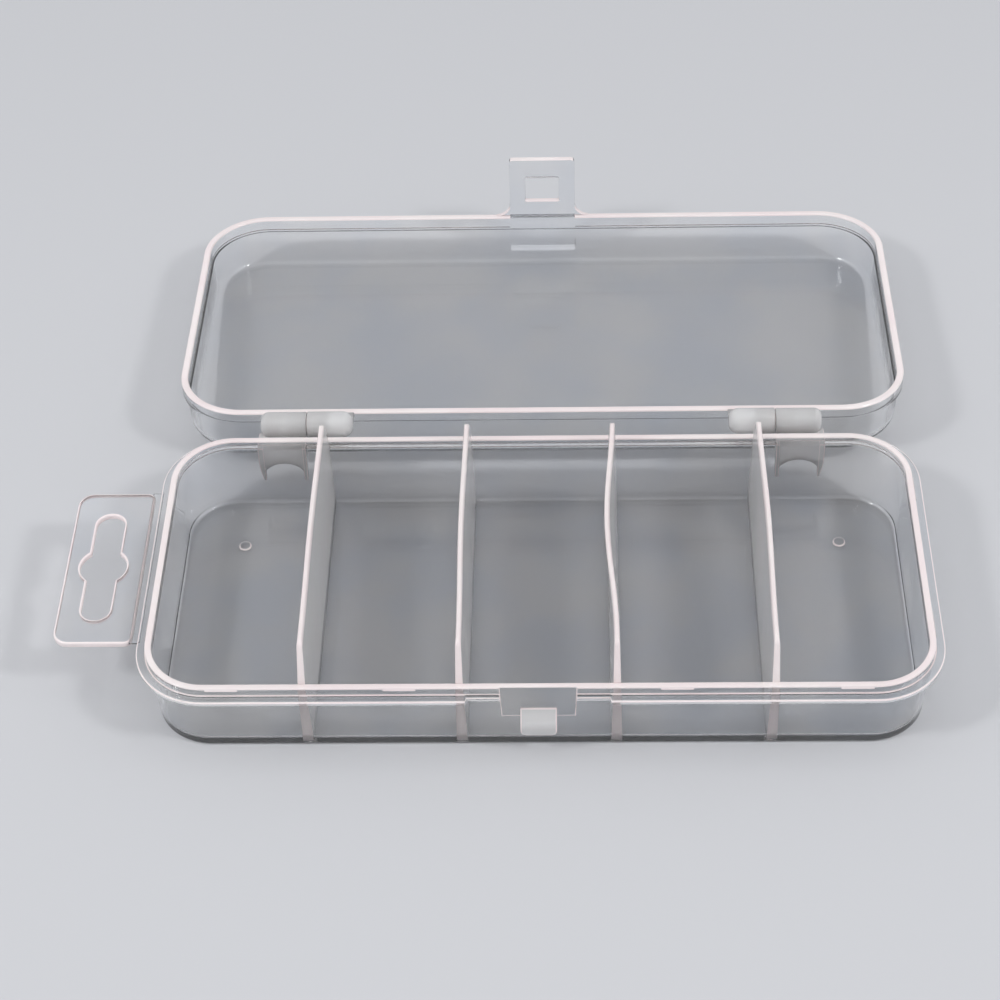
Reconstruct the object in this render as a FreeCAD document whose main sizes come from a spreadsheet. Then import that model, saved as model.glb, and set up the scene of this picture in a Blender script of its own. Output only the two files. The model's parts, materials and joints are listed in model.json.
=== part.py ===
"""Clear tackle box with five compartments, a snap-hinged lid, a window latch and a fold-out hang tab.

Millimetres. X runs along the box, Y from the latch to the hinge and Z up. The origin is the middle of the
underside. The lid is drawn closed and then turned back on its hinge until its far edge lies on the table.
"""
import FreeCAD, Part
import math
import operator
import os
import Sketcher

COMPARTMENTS = 5

DIMENSIONS = {
    # Base tray: outline over the ledge, ledge, lip, leaning wall and floor
    "ledge_length": 172.0,
    "ledge_width": 81.0,
    "ledge_corner_radius": 15.7,
    "ledge_reach": 2.1,
    "ledge_thickness": 1.1,
    "ledge_height": 17.5,
    "lip_height": 2.1,
    "lip_thickness": 1.4,
    "wall_thickness": 1.2,
    "wall_lean": 1.2,
    "floor_thickness": 1.2,
    "foot_radius": 1.0,
    "cavity_bevel": 1.1,
    # Snap beads along the lip, and the low round pips on the floor
    "bead_length": 7.4,
    "bead_reach": 0.2,
    "bead_height": 0.8,
    "bead_drop": 0.4,
    "front_bead_inner": 29.0,
    "front_bead_end": 4.0,
    "side_bead_end": 4.3,
    "pip_diameter": 2.9,
    "pip_height": 0.3,
    "pip_end_inset": 14.1,
    "pip_back_inset": 15.8,
    # Dividers
    "divider_top_thickness": 1.2,
    "divider_foot_thickness": 2.4,
    "divider_clearance": 1.85,
    "divider_slope": 3.6,
    # Latch pad and catch on the front wall
    "pad_width": 16.0,
    "pad_narrowing": 0.4,
    "pad_drop": 9.3,
    "pad_recess": 0.25,
    "bay_clearance": 3.5,
    "bay_ledge_reach": 1.0,
    "catch_width": 7.75,
    "catch_height": 6.1,
    "catch_drop": 4.7,
    "catch_reach": 2.5,
    "catch_ramp": 3.0,
    "catch_corner_radius": 1.3,
    # Lid
    "lid_height": 13.8,
    "lid_seat_clearance": 0.15,
    "lid_fit_clearance": 0.4,
    "skirt_headroom": 1.4,
    "skirt_step": 0.8,
    "lid_wall": 1.3,
    "lid_lean": 0.6,
    "lid_panel": 1.2,
    "lid_edge_radius": 3.0,
    "lid_inner_bevel": 1.3,
    # Latch tab on the lid
    "latch_width": 16.6,
    "latch_thickness": 1.4,
    "latch_bar": 5.6,
    "latch_root_radius": 3.0,
    "latch_root_thickness": 0.5,
    "latch_end_radius": 0.8,
    "latch_plate_height": 10.0,
    "latch_clearance": 0.2,
    "latch_flex_gap": 0.05,
    "window_clearance": 0.4,
    "window_radius": 0.4,
    # Snap hinge: stub pins on the clips of the base, in sockets in the ears of the lid
    "hinge_gap": 0.6,
    "hinge_rise": 0.7,
    "hinge_inset": 4.7,
    "pin_diameter": 4.2,
    "pin_length": 2.3,
    "pin_chamfer": 0.9,
    "pin_clearance": 0.05,
    "clip_width": 11.2,
    "barrel_diameter": 5.9,
    "barrel_wall": 0.8,
    "barrel_cap": 1.3,
    "barrel_bevel": 1.2,
    "barrel_inset": 0.5,
    "inner_cheek": 0.9,
    "outer_cheek": 1.4,
    "cheek_drop": 9.4,
    "cheek_toe": 1.3,
    "cheek_lean": 0.9,
    "cheek_bend": 6.0,
    "web_drop": 6.6,
    "web_arch": 2.3,
    "mouth_angle": 100.0,
    "mouth_turn": 40.0,
    "neck_angle": 20.0,
    "ear_width": 10.6,
    "ear_gap": 0.2,
    "ear_wall": 0.85,
    "ear_round": 2.3,
    "ear_bevel": 1.5,
    "socket_depth": 4.6,
    # Hang tab
    "tab_length": 45.8,
    "tab_width": 17.4,
    "tab_thickness": 1.5,
    "tab_corner_radius": 3.5,
    "tab_root_radius": 1.8,
    "fold_width": 1.3,
    "fold_thickness": 0.5,
    "fold_gap": 0.05,
    "slot_length": 32.0,
    "slot_width": 6.3,
    "slot_bump_diameter": 10.3,
    "slot_offset": 0.4,
}

doc = FreeCAD.newDocument("tackle_box")
sheet = doc.addObject("Spreadsheet::Sheet", "dimensions")
for row, (name, number) in enumerate(DIMENSIONS.items(), start=1):
    sheet.set(f"A{row}", name)
    sheet.set(f"B{row}", str(number))
    sheet.setAlias(f"B{row}", name)
doc.recompute()


class Size:
    """A length worked out from the sheet: the formula that binds it and its present value."""

    OPERATIONS = {"+": operator.add, "-": operator.sub, "*": operator.mul, "/": operator.truediv}

    def __init__(self, formula, value):
        self.formula = formula
        self.value = value

    @staticmethod
    def of(number):
        """Return number as a Size."""
        if isinstance(number, Size):
            return number
        return Size(f"({number})", number)

    def join(self, sign, other):
        """Return this size joined to other by one of the four operations."""
        other = Size.of(other)
        value = Size.OPERATIONS[sign](self.value, other.value)
        return Size(f"({self.formula} {sign} {other.formula})", value)

    def __add__(self, other):
        return self.join("+", other)

    def __sub__(self, other):
        return self.join("-", other)

    def __mul__(self, other):
        return self.join("*", other)

    def __truediv__(self, other):
        return self.join("/", other)

    def __neg__(self):
        return self.join("*", -1)

    def cosine(self):
        """Return the cosine of this size, read as degrees."""
        return Size(f"cos({self.formula})", math.cos(math.radians(self.value)))

    def sine(self):
        """Return the sine of this size, read as degrees."""
        return Size(f"sin({self.formula})", math.sin(math.radians(self.value)))


def size(name):
    """Return the driving dimension of that name."""
    return Size(f"dimensions.{name}", float(sheet.get(name)))


def bind(item, path, length):
    """Tie a property of a document object to a size."""
    item.setExpression(path, Size.of(length).formula)


def new_body(label):
    """Return a new empty body."""
    body = doc.addObject("PartDesign::Body", label)
    body.Label = label
    return body


def new_sketch(body, name, plane, offset):
    """Return a sketch on one of the body's origin planes, moved along the plane's normal by offset."""
    sketch = body.newObject("Sketcher::SketchObject", f"{body.Label}_{name}")
    support = [item for item in body.Origin.OriginFeatures if item.Role == plane]
    sketch.AttachmentSupport = [(support[0], "")]
    sketch.MapMode = "FlatFace"
    bind(sketch, "AttachmentOffset.Base.z", offset)
    return sketch


def hold(sketch, kind, places, length):
    """Add a dimension between places of the sketch and tie it to a size."""
    index = sketch.addConstraint(Sketcher.Constraint(kind, *places, length.value))
    bind(sketch, f"Constraints[{index}]", length)


def hold_point(sketch, geometry, position, across, up):
    """Fix a point of the sketch by its distances from the origin."""
    hold(sketch, "DistanceX", (-1, 1, geometry, position), Size.of(across))
    hold(sketch, "DistanceY", (-1, 1, geometry, position), Size.of(up))


def draw_outline(sketch, corners):
    """Draw a closed outline, anticlockwise, through corners given as across, up and a radius or None."""
    points = [FreeCAD.Vector(Size.of(across).value, Size.of(up).value, 0) for across, up, _ in corners]
    count = len(points)
    starts, ends, arcs = [], [], []
    for i, (across, up, radius) in enumerate(corners):
        if radius is None:
            starts.append(points[i])
            ends.append(points[i])
            arcs.append(None)
            continue
        back = (points[i - 1] - points[i]).normalize()
        ahead = (points[(i + 1) % count] - points[i]).normalize()
        half_angle = back.getAngle(ahead) / 2
        reach = radius.value / math.tan(half_angle)
        centre = points[i] + (back + ahead).normalize() * (radius.value / math.sin(half_angle))
        starts.append(points[i] + back * reach)
        ends.append(points[i] + ahead * reach)
        turns_left = back.cross(ahead).z < 0
        first, last = (starts[i], ends[i]) if turns_left else (ends[i], starts[i])
        circle = Part.Circle(centre, FreeCAD.Vector(0, 0, 1), radius.value)
        angles = [math.atan2((place - centre).y, (place - centre).x) for place in (first, last)]
        arcs.append((Part.ArcOfCircle(circle, *angles), turns_left))
    lines = []
    for i in range(count):
        lines.append(sketch.addGeometry(Part.LineSegment(ends[i], starts[(i + 1) % count])))
    for i, (across, up, radius) in enumerate(corners):
        corner = sketch.addGeometry(Part.Point(points[i]), True)
        hold_point(sketch, corner, 1, across, up)
        before, after = lines[i - 1], lines[i]
        if radius is None:
            sketch.addConstraint(Sketcher.Constraint("Coincident", before, 2, corner, 1))
            sketch.addConstraint(Sketcher.Constraint("Coincident", after, 1, corner, 1))
            continue
        arc, turns_left = arcs[i]
        bend = sketch.addGeometry(arc)
        entry, leave = (1, 2) if turns_left else (2, 1)
        sketch.addConstraint(Sketcher.Constraint("PointOnObject", corner, 1, before))
        sketch.addConstraint(Sketcher.Constraint("PointOnObject", corner, 1, after))
        sketch.addConstraint(Sketcher.Constraint("Tangent", before, 2, bend, entry))
        sketch.addConstraint(Sketcher.Constraint("Tangent", bend, leave, after, 1))
        hold(sketch, "Radius", (bend,), radius)


def draw_rectangle(sketch, left, low, right, high, radius=None):
    """Draw a rectangle between two corners, its four corners rounded alike if radius is given."""
    corners = [(left, low), (right, low), (right, high), (left, high)]
    draw_outline(sketch, [(across, up, radius) for across, up in corners])


def draw_circle(sketch, across, up, radius):
    """Draw a circle about a point."""
    centre = FreeCAD.Vector(Size.of(across).value, Size.of(up).value, 0)
    ring = sketch.addGeometry(Part.Circle(centre, FreeCAD.Vector(0, 0, 1), radius.value))
    hold_point(sketch, ring, 3, across, up)
    hold(sketch, "Radius", (ring,), radius)


def draw_slot(sketch, first, last, radius):
    """Draw a round-ended slot between two points, each given as across and up."""
    ends = [FreeCAD.Vector(Size.of(across).value, Size.of(up).value, 0) for across, up in (first, last)]
    along = (ends[1] - ends[0]).normalize()
    side = FreeCAD.Vector(-along.y, along.x, 0) * radius.value
    heading = math.atan2(side.y, side.x)
    caps = []
    for centre, turn in zip(ends, (heading, heading - math.pi)):
        circle = Part.Circle(centre, FreeCAD.Vector(0, 0, 1), radius.value)
        caps.append(sketch.addGeometry(Part.ArcOfCircle(circle, turn, turn + math.pi)))
    right = sketch.addGeometry(Part.LineSegment(ends[0] - side, ends[1] - side))
    left = sketch.addGeometry(Part.LineSegment(ends[1] + side, ends[0] + side))
    for before, after in ((caps[0], right), (right, caps[1]), (caps[1], left), (left, caps[0])):
        sketch.addConstraint(Sketcher.Constraint("Tangent", before, 2, after, 1))
    hold_point(sketch, caps[0], 3, *first)
    hold_point(sketch, caps[1], 3, *last)
    hold(sketch, "Radius", (caps[0],), radius)


def extrude(kind, body, sketch, length, backwards=False):
    """Pad or pocket a sketch by length and return the feature."""
    feature = body.newObject(f"PartDesign::{kind}", f"{sketch.Name}_{kind}")
    feature.Profile = sketch
    bind(feature, "Length", length)
    feature.Reversed = backwards
    return feature


def leaning_block(body, outline, height, lean, outwards):
    """Pad an outline by height, its walls leaning out or in by lean, and return the feature."""
    prism = extrude("Pad", body, outline, height)
    doc.recompute()
    foot_height = prism.Shape.BoundBox.ZMin
    walls, foot = [], []
    for number, face in enumerate(prism.Shape.Faces, start=1):
        if not near(face.BoundBox.ZLength, 0):
            walls.append(f"Face{number}")
        elif near(face.BoundBox.ZMin, foot_height):
            foot.append(f"Face{number}")
    feature = body.newObject("PartDesign::Draft", f"{outline.Name}_lean")
    feature.Base = (prism, walls)
    feature.NeutralPlane = (prism, foot)
    feature.Reversed = outwards
    feature.setExpression("Angle", f"atan({lean.formula} / {height.formula})")
    return feature


def soften(kind, body, feature, amount, wanted):
    """Fillet or chamfer the edges of a feature whose end points and middle all meet a test."""
    doc.recompute()
    names = []
    for number, edge in enumerate(feature.Shape.Edges, start=1):
        middle = edge.valueAt((edge.FirstParameter + edge.LastParameter) / 2)
        if all(wanted(place) for place in [middle] + [vertex.Point for vertex in edge.Vertexes]):
            names.append(f"Edge{number}")
    result = body.newObject(f"PartDesign::{kind}", f"{feature.Name}_{kind}")
    result.Base = (feature, names)
    bind(result, "Radius" if kind == "Fillet" else "Size", amount)
    return result


def near(number, length):
    """Tell whether a coordinate is at a size."""
    return abs(number - Size.of(length).value) < 1e-4


def boolean(kind, label, first, second):
    """Return a boolean of two solids."""
    result = doc.addObject(f"Part::{kind}", label)
    result.Label = label
    result.Base = first
    result.Tool = second
    return result


def mirror(label, source):
    """Return the mirror image of a solid across the middle of the box."""
    result = doc.addObject("Part::Mirroring", label)
    result.Label = label
    result.Source = source
    result.Normal = FreeCAD.Vector(1, 0, 0)
    return result


# Outlines that several pieces share, as half lengths and half widths about the middle
half_length = size("ledge_length") / 2
half_width = size("ledge_width") / 2
lip_half_length = half_length - size("ledge_reach")
lip_half_width = half_width - size("ledge_reach")
lip_radius = size("ledge_corner_radius") - size("ledge_reach")
lip_top = size("ledge_height") + size("lip_height")
ledge_underside = size("ledge_height") - size("ledge_thickness")
inside_half_length = lip_half_length - size("lip_thickness")
inside_half_width = lip_half_width - size("lip_thickness")
pad_face = lip_half_width - size("pad_recess")
wall_middle = lip_half_width - size("wall_lean") - size("wall_thickness") / 2
straight_half_length = lip_half_length - lip_radius
straight_half_width = lip_half_width - lip_radius
rim = size("ledge_height") + size("lid_seat_clearance")
skirt_height = size("lip_height") + size("skirt_headroom")
skirt_top = rim + skirt_height
lid_top = rim + size("lid_height")
divider_top = lid_top - size("lid_panel") - size("divider_clearance")
latch_flare = size("latch_width") / 2 + size("latch_root_radius") + size("latch_root_thickness")
latch_inside = lip_half_width + size("bay_ledge_reach") + size("latch_clearance")
latch_outside = latch_inside + size("latch_thickness")
socket_radius = size("pin_diameter") / 2 + size("pin_clearance")
ear_radius = socket_radius + size("ear_wall")
hinge_y = half_width + ear_radius + size("hinge_gap")
hinge_z = size("ledge_height") + size("hinge_rise")
clip_outer = straight_half_length - size("hinge_inset")
clip_inner = clip_outer - size("clip_width")
ear_outer = clip_inner - size("ear_gap")


def box_outline(body, name, height, inset):
    """Return a sketch of the ledge's rounded rectangle, drawn in by inset, at a height."""
    sketch = new_sketch(body, name, "XY_Plane", height)
    length, width = half_length - inset, half_width - inset
    draw_rectangle(sketch, -length, -width, length, width, size("ledge_corner_radius") - inset)
    return sketch


def at_height(length):
    """Return a test for points at a height."""
    return lambda place: near(place.z, length)


def build_tray_block():
    """The outside of the base: leaning wall, ledge, lip, latch pad and snap beads, not yet hollow."""
    body = new_body("tray_block")
    foot = box_outline(body, "foot", Size.of(0), size("ledge_reach") + size("wall_lean"))
    wall = leaning_block(body, foot, size("ledge_height"), size("wall_lean"), outwards=True)
    soften("Fillet", body, wall, size("foot_radius"), at_height(0))
    extrude("Pad", body, box_outline(body, "ledge", ledge_underside, Size.of(0)), size("ledge_thickness"))
    lip = box_outline(body, "lip", size("ledge_height"), size("ledge_reach"))
    extrude("Pad", body, lip, size("lip_height"))

    # The ledge is narrow beside the latch, and gives way to a flat pad under it
    bay = new_sketch(body, "bay", "XY_Plane", size("ledge_height"))
    bay_half = latch_flare + size("bay_clearance")
    bay_edge = -(lip_half_width + size("bay_ledge_reach"))
    draw_rectangle(bay, -bay_half, -(half_width + size("ledge_reach")), bay_half, bay_edge)
    extrude("Pocket", body, bay, size("ledge_thickness"))
    top, low = size("pad_width") / 2, size("pad_width") / 2 - size("pad_narrowing")
    pad_foot = lip_top - size("pad_drop")
    trapezium = [(-low, pad_foot, None), (low, pad_foot, None), (top, lip_top, None), (-top, lip_top, None)]
    pad = new_sketch(body, "pad", "XZ_Plane", pad_face)
    draw_outline(pad, trapezium)
    extrude("Pad", body, pad, size("lip_thickness") / 2, backwards=True)
    clearing = new_sketch(body, "clearing", "XZ_Plane", pad_face)
    draw_outline(clearing, trapezium)
    extrude("Pocket", body, clearing, size("ledge_reach") + size("pad_recess"), backwards=True)

    beads = new_sketch(body, "beads", "XY_Plane", lip_top - size("bead_drop") - size("bead_height"))
    root = size("lip_thickness") / 2
    reach = size("bead_reach")
    half_bead = size("bead_length") / 2
    for place in (size("front_bead_inner"), straight_half_length - size("front_bead_end")):
        for middle in (place, -place):
            front = -lip_half_width
            draw_outline(beads, [
                (middle - half_bead, front + root, None),
                (middle - half_bead + reach, front - reach, None),
                (middle + half_bead - reach, front - reach, None),
                (middle + half_bead, front + root, None),
            ])
    side_place = straight_half_width - size("side_bead_end")
    for middle in (side_place, -side_place):
        draw_outline(beads, [
            (lip_half_length - root, middle - half_bead, None),
            (lip_half_length + reach, middle - half_bead + reach, None),
            (lip_half_length + reach, middle + half_bead - reach, None),
            (lip_half_length - root, middle + half_bead, None),
        ])
        draw_outline(beads, [
            (-lip_half_length + root, middle + half_bead, None),
            (-lip_half_length - reach, middle + half_bead - reach, None),
            (-lip_half_length - reach, middle - half_bead + reach, None),
            (-lip_half_length + root, middle - half_bead, None),
        ])
    extrude("Pad", body, beads, size("bead_height"))
    return body


def build_cavity():
    """The space inside the base, down to the floor and its two pips."""
    body = new_body("cavity")
    floor_inset = size("ledge_reach") + size("wall_lean") + size("wall_thickness")
    mouth_inset = size("ledge_reach") + size("lip_thickness")
    floor = box_outline(body, "floor", size("floor_thickness"), floor_inset)
    depth = lip_top - size("floor_thickness")
    space = leaning_block(body, floor, depth, floor_inset - mouth_inset, outwards=True)
    soften("Chamfer", body, space, size("cavity_bevel"), at_height(size("floor_thickness")))
    pips = new_sketch(body, "pips", "XY_Plane", size("floor_thickness"))
    pip_across = inside_half_length - size("pip_end_inset")
    pip_back = inside_half_width - size("pip_back_inset")
    for across in (pip_across, -pip_across):
        draw_circle(pips, across, pip_back, size("pip_diameter") / 2)
    extrude("Pocket", body, pips, size("pip_height"), backwards=True)
    return body


def build_divider_room(cavity):
    """The space that a divider fills: the cavity, and above the lip a prism with sloping ends."""
    body = new_body("headroom")
    ends = new_sketch(body, "ends", "YZ_Plane", -inside_half_length)
    low, high = inside_half_width, inside_half_width - size("divider_slope")
    draw_outline(ends, [
        (-low, lip_top, None),
        (low, lip_top, None),
        (high, divider_top, None),
        (-high, divider_top, None),
    ])
    extrude("Pad", body, ends, inside_half_length * 2)
    return boolean("Fuse", "divider_room", cavity, body)


def build_divider(number, room):
    """One tapered divider, cut to the room inside the box."""
    body = new_body(f"divider_blank_{number}")
    pitch = inside_half_length * 2 / COMPARTMENTS
    middle = pitch * (number - COMPARTMENTS / 2)
    foot, top = size("divider_foot_thickness") / 2, size("divider_top_thickness") / 2
    taper = new_sketch(body, "taper", "XZ_Plane", lip_half_width)
    draw_outline(taper, [
        (middle - foot, size("floor_thickness"), None),
        (middle + foot, size("floor_thickness"), None),
        (middle + top, divider_top, None),
        (middle - top, divider_top, None),
    ])
    extrude("Pad", body, taper, lip_half_width * 2, backwards=True)
    return boolean("Common", f"divider_{number}", body, room)


def build_catch(tray_block):
    """The ramped block that the latch window snaps over."""
    body = new_body("catch_blank")
    top = size("ledge_height") - size("catch_drop")
    low = top - size("catch_height")
    front = -(pad_face + size("catch_reach"))
    side = new_sketch(body, "side", "YZ_Plane", -size("catch_width") / 2)
    draw_outline(side, [
        (front, low, None),
        (-wall_middle, low, None),
        (-wall_middle, top, None),
        (-pad_face, top, None),
        (front, top - size("catch_ramp"), None),
    ])
    block = extrude("Pad", body, side, size("catch_width"))

    def low_side(place):
        return near(place.z, low) and near(abs(place.x), size("catch_width") / 2)

    soften("Fillet", body, block, size("catch_corner_radius"), low_side)
    return boolean("Cut", "latch_catch", body, tray_block)


def build_clip(tray_block):
    """One hinge clip: a hollow barrel, open down and back, on two cheeks and an arched web."""
    body = new_body("clip_blank")
    barrel_radius = size("barrel_diameter") / 2
    core_radius = barrel_radius - size("barrel_wall")
    barrel_end = clip_outer - size("barrel_inset")
    ring = new_sketch(body, "ring", "YZ_Plane", clip_inner)
    draw_circle(ring, hinge_y, hinge_z, barrel_radius)
    barrel = extrude("Pad", body, ring, barrel_end - clip_inner)
    soften("Chamfer", body, barrel, size("barrel_bevel"), lambda place: near(place.x, barrel_end))

    # The web and cheeks leave the barrel short of the mouth, and reach in to the middle of the wall
    mouth_low = size("mouth_turn") + size("mouth_angle") / 2
    mouth_high = size("mouth_turn") - size("mouth_angle") / 2
    neck_turn = mouth_low + size("neck_angle")
    neck_radius = core_radius + size("barrel_wall") / 2
    neck_y = hinge_y + neck_radius * neck_turn.cosine()
    neck_z = hinge_z - neck_radius * neck_turn.sine()
    web_foot = ledge_underside - size("web_drop")
    web = new_sketch(body, "web", "YZ_Plane", clip_inner)
    draw_outline(web, [
        (wall_middle, web_foot, None),
        (neck_y, neck_z, None),
        (neck_y, ledge_underside, None),
        (wall_middle, ledge_underside, None),
    ])
    extrude("Pad", body, web, size("clip_width"))
    arch = new_sketch(body, "arch", "XZ_Plane", -wall_middle)
    core_start = clip_inner + size("inner_cheek")
    half_span = (clip_outer - size("outer_cheek") - core_start) / 2
    rise = size("web_arch")
    arch_radius = (half_span * half_span + rise * rise) / (rise * 2)
    draw_circle(arch, core_start + half_span, web_foot + rise - arch_radius, arch_radius)
    extrude("Pocket", body, arch, hinge_y - wall_middle)

    cheek_foot = ledge_underside - size("cheek_drop")
    toe = wall_middle + size("wall_thickness") / 2 + size("cheek_toe")
    outer_start = clip_outer - size("outer_cheek")
    for name, start, thickness in (
        ("inner_cheek", clip_inner, size("inner_cheek")),
        ("outer_cheek", outer_start, size("outer_cheek")),
    ):
        cheek = new_sketch(body, name, "YZ_Plane", start)
        draw_outline(cheek, [
            (wall_middle, cheek_foot, None),
            (toe, cheek_foot, None),
            (neck_y, neck_z, None),
            (neck_y, ledge_underside, None),
            (wall_middle, ledge_underside, None),
        ])
        extrude("Pad", body, cheek, thickness)
    lean = new_sketch(body, "lean", "XZ_Plane", -wall_middle)
    draw_outline(lean, [
        (clip_outer - size("cheek_lean"), cheek_foot, None),
        (clip_outer, cheek_foot, None),
        (clip_outer, cheek_foot + size("cheek_bend"), None),
    ])
    extrude("Pocket", body, lean, hinge_y - wall_middle)

    core_depth = barrel_end - size("barrel_cap") - core_start
    core = new_sketch(body, "core", "YZ_Plane", core_start)
    draw_circle(core, hinge_y, hinge_z, core_radius)
    extrude("Pocket", body, core, core_depth, backwards=True)
    mouth = new_sketch(body, "mouth", "YZ_Plane", core_start)
    reach = barrel_radius * 2
    mouth_corners = [(hinge_y, hinge_z, None)]
    for side in (mouth_low, mouth_high):
        mouth_corners.append((hinge_y + reach * side.cosine(), hinge_z - reach * side.sine(), None))
    draw_outline(mouth, mouth_corners)
    extrude("Pocket", body, mouth, core_depth, backwards=True)
    return boolean("Cut", "hinge_clip_right", body, tray_block)


def build_pin():
    """One stub pin with a bevelled end, on the inner cheek of a clip."""
    body = new_body("hinge_pin_right")
    start = clip_inner - size("pin_length")
    ring = new_sketch(body, "ring", "YZ_Plane", start)
    draw_circle(ring, hinge_y, hinge_z, size("pin_diameter") / 2)
    pin = extrude("Pad", body, ring, size("pin_length"))
    soften("Chamfer", body, pin, size("pin_chamfer"), lambda place: near(place.x, start))
    return body


def build_hang_tab():
    """The hang tab with its slot, on a thin web whose round root is the line it folds on."""
    body = new_body("hang_tab")
    fold_radius = size("fold_thickness") / 2
    fold_x = -(half_length + size("fold_gap") + fold_radius)
    fold_z = ledge_underside + fold_radius
    inner = -(half_length + size("fold_width"))
    outer = inner - size("tab_width")
    top = fold_z + fold_radius
    half = size("tab_length") / 2
    plate = new_sketch(body, "plate", "XY_Plane", top - size("tab_thickness"))
    draw_outline(plate, [
        (outer, -half, size("tab_corner_radius")),
        (inner, -half, size("tab_root_radius")),
        (inner, half, size("tab_root_radius")),
        (outer, half, size("tab_corner_radius")),
    ])
    extrude("Pad", body, plate, size("tab_thickness"))
    fold = new_sketch(body, "fold", "XZ_Plane", half)
    draw_slot(fold, (inner - size("tab_root_radius"), fold_z), (fold_x, fold_z), fold_radius)
    extrude("Pad", body, fold, size("tab_length"), backwards=True)
    slot_x = inner - size("tab_width") / 2 - size("slot_offset")
    slot_end = size("slot_length") / 2 - size("slot_width") / 2
    slot = new_sketch(body, "slot", "XY_Plane", top)
    draw_slot(slot, (slot_x, -slot_end), (slot_x, slot_end), size("slot_width") / 2)
    extrude("Pocket", body, slot, size("tab_thickness"))
    bump = new_sketch(body, "bump", "XY_Plane", top)
    draw_circle(bump, slot_x, Size.of(0), size("slot_bump_diameter") / 2)
    extrude("Pocket", body, bump, size("tab_thickness"))
    print(f"hang tab folds about Y at x {fold_x.value:.3f} z {fold_z.value:.3f}")
    return body


def build_lid_block():
    """The outside of the lid: a skirt, then a leaning wall stepped in from it, and a rounded top edge."""
    body = new_body("lid_block")
    foot = box_outline(body, "wall", skirt_top, size("skirt_step"))
    wall = leaning_block(body, foot, lid_top - skirt_top, size("lid_lean"), outwards=False)
    soften("Fillet", body, wall, size("lid_edge_radius"), at_height(lid_top))
    extrude("Pad", body, box_outline(body, "skirt", rim, Size.of(0)), skirt_height)
    return body


def build_lid_hollow():
    """The space inside the lid: clear of the lip in the skirt, then stepped in to the wall's thickness."""
    body = new_body("lid_hollow")
    skirt_inset = size("ledge_reach") - size("lid_fit_clearance")
    wall_inset = size("skirt_step") + size("lid_wall")
    ceiling = lid_top - size("lid_panel")
    foot = box_outline(body, "wall", skirt_top, wall_inset)
    space = leaning_block(body, foot, ceiling - skirt_top, size("lid_lean"), outwards=False)
    soften("Chamfer", body, space, size("lid_inner_bevel"), at_height(ceiling))
    extrude("Pad", body, box_outline(body, "skirt", rim, skirt_inset), skirt_height)
    return body


def build_ear(lid_block):
    """One rounded ear behind the lid's skirt, with a blind socket for the pin."""
    body = new_body("ear_blank")
    start = ear_outer - size("ear_width")
    ring = new_sketch(body, "ring", "YZ_Plane", start)
    draw_circle(ring, hinge_y, hinge_z, ear_radius)
    disc = extrude("Pad", body, ring, size("ear_width"))
    soften("Chamfer", body, disc, size("ear_bevel"), lambda place: near(place.x, start))
    neck = new_sketch(body, "neck", "XZ_Plane", -hinge_y)
    draw_outline(neck, [
        (start, rim, None),
        (ear_outer, rim, None),
        (ear_outer, skirt_top, None),
        (start, skirt_top, size("ear_round")),
    ])
    extrude("Pad", body, neck, hinge_y - half_width + size("skirt_step"))
    socket = new_sketch(body, "socket", "YZ_Plane", ear_outer)
    draw_circle(socket, hinge_y, hinge_z, socket_radius)
    extrude("Pocket", body, socket, size("socket_depth"))
    return boolean("Cut", "hinge_ear_right", body, lid_block)


def build_latch_plate(lid_block):
    """The thick plate on the lid's front wall that the latch tab hangs from."""
    body = new_body("plate_blank")
    half = size("latch_width") / 2
    face = new_sketch(body, "face", "XZ_Plane", latch_outside)
    draw_rectangle(face, -half, rim, half, rim + size("latch_plate_height"))
    root = half_width - size("skirt_step") - size("lid_lean") - size("lid_wall") / 2
    extrude("Pad", body, face, latch_outside - root, backwards=True)
    return boolean("Cut", "latch_plate", body, lid_block)


def build_latch_tab():
    """The latch tab, flared where it leaves the rim, with a window that clears the catch all round."""
    body = new_body("latch_tab")
    top = rim - size("latch_flex_gap")
    catch_top = size("ledge_height") - size("catch_drop")
    window_top = catch_top + size("window_clearance")
    window_low = catch_top - size("catch_height") - size("window_clearance")
    end = window_low - size("latch_bar")
    half = size("latch_width") / 2
    shoulder = top - size("latch_root_thickness")
    face = new_sketch(body, "face", "XZ_Plane", latch_outside)
    draw_outline(face, [
        (-half, end, size("latch_end_radius")),
        (half, end, size("latch_end_radius")),
        (half, shoulder, size("latch_root_radius")),
        (latch_flare, shoulder, None),
        (latch_flare, top, None),
        (-latch_flare, top, None),
        (-latch_flare, shoulder, None),
        (-half, shoulder, size("latch_root_radius")),
    ])
    window_half = size("catch_width") / 2 + size("window_clearance")
    draw_rectangle(face, -window_half, window_low, window_half, window_top, size("window_radius"))
    extrude("Pad", body, face, size("latch_thickness"), backwards=True)
    return body


def open_angle():
    """Return the turn, in degrees, that lays the rounded far edge of the lid on the table."""
    slant = math.atan2(size("lid_lean").value, (size("lid_height") - skirt_height).value)
    radius = size("lid_edge_radius").value
    edge_out = half_width.value - size("skirt_step").value - size("lid_lean").value
    centre_y = edge_out + radius * math.tan(slant) - radius / math.cos(slant)
    across = hinge_y.value + centre_y
    up = lid_top.value - radius - hinge_z.value
    reach = math.hypot(across, up)
    return math.degrees(math.atan2(across, up) + math.acos((radius - hinge_z.value) / reach))


tray_block = build_tray_block()
cavity = build_cavity()
divider_room = build_divider_room(cavity)
lid_block = build_lid_block()
lid_hollow = build_lid_hollow()

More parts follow.
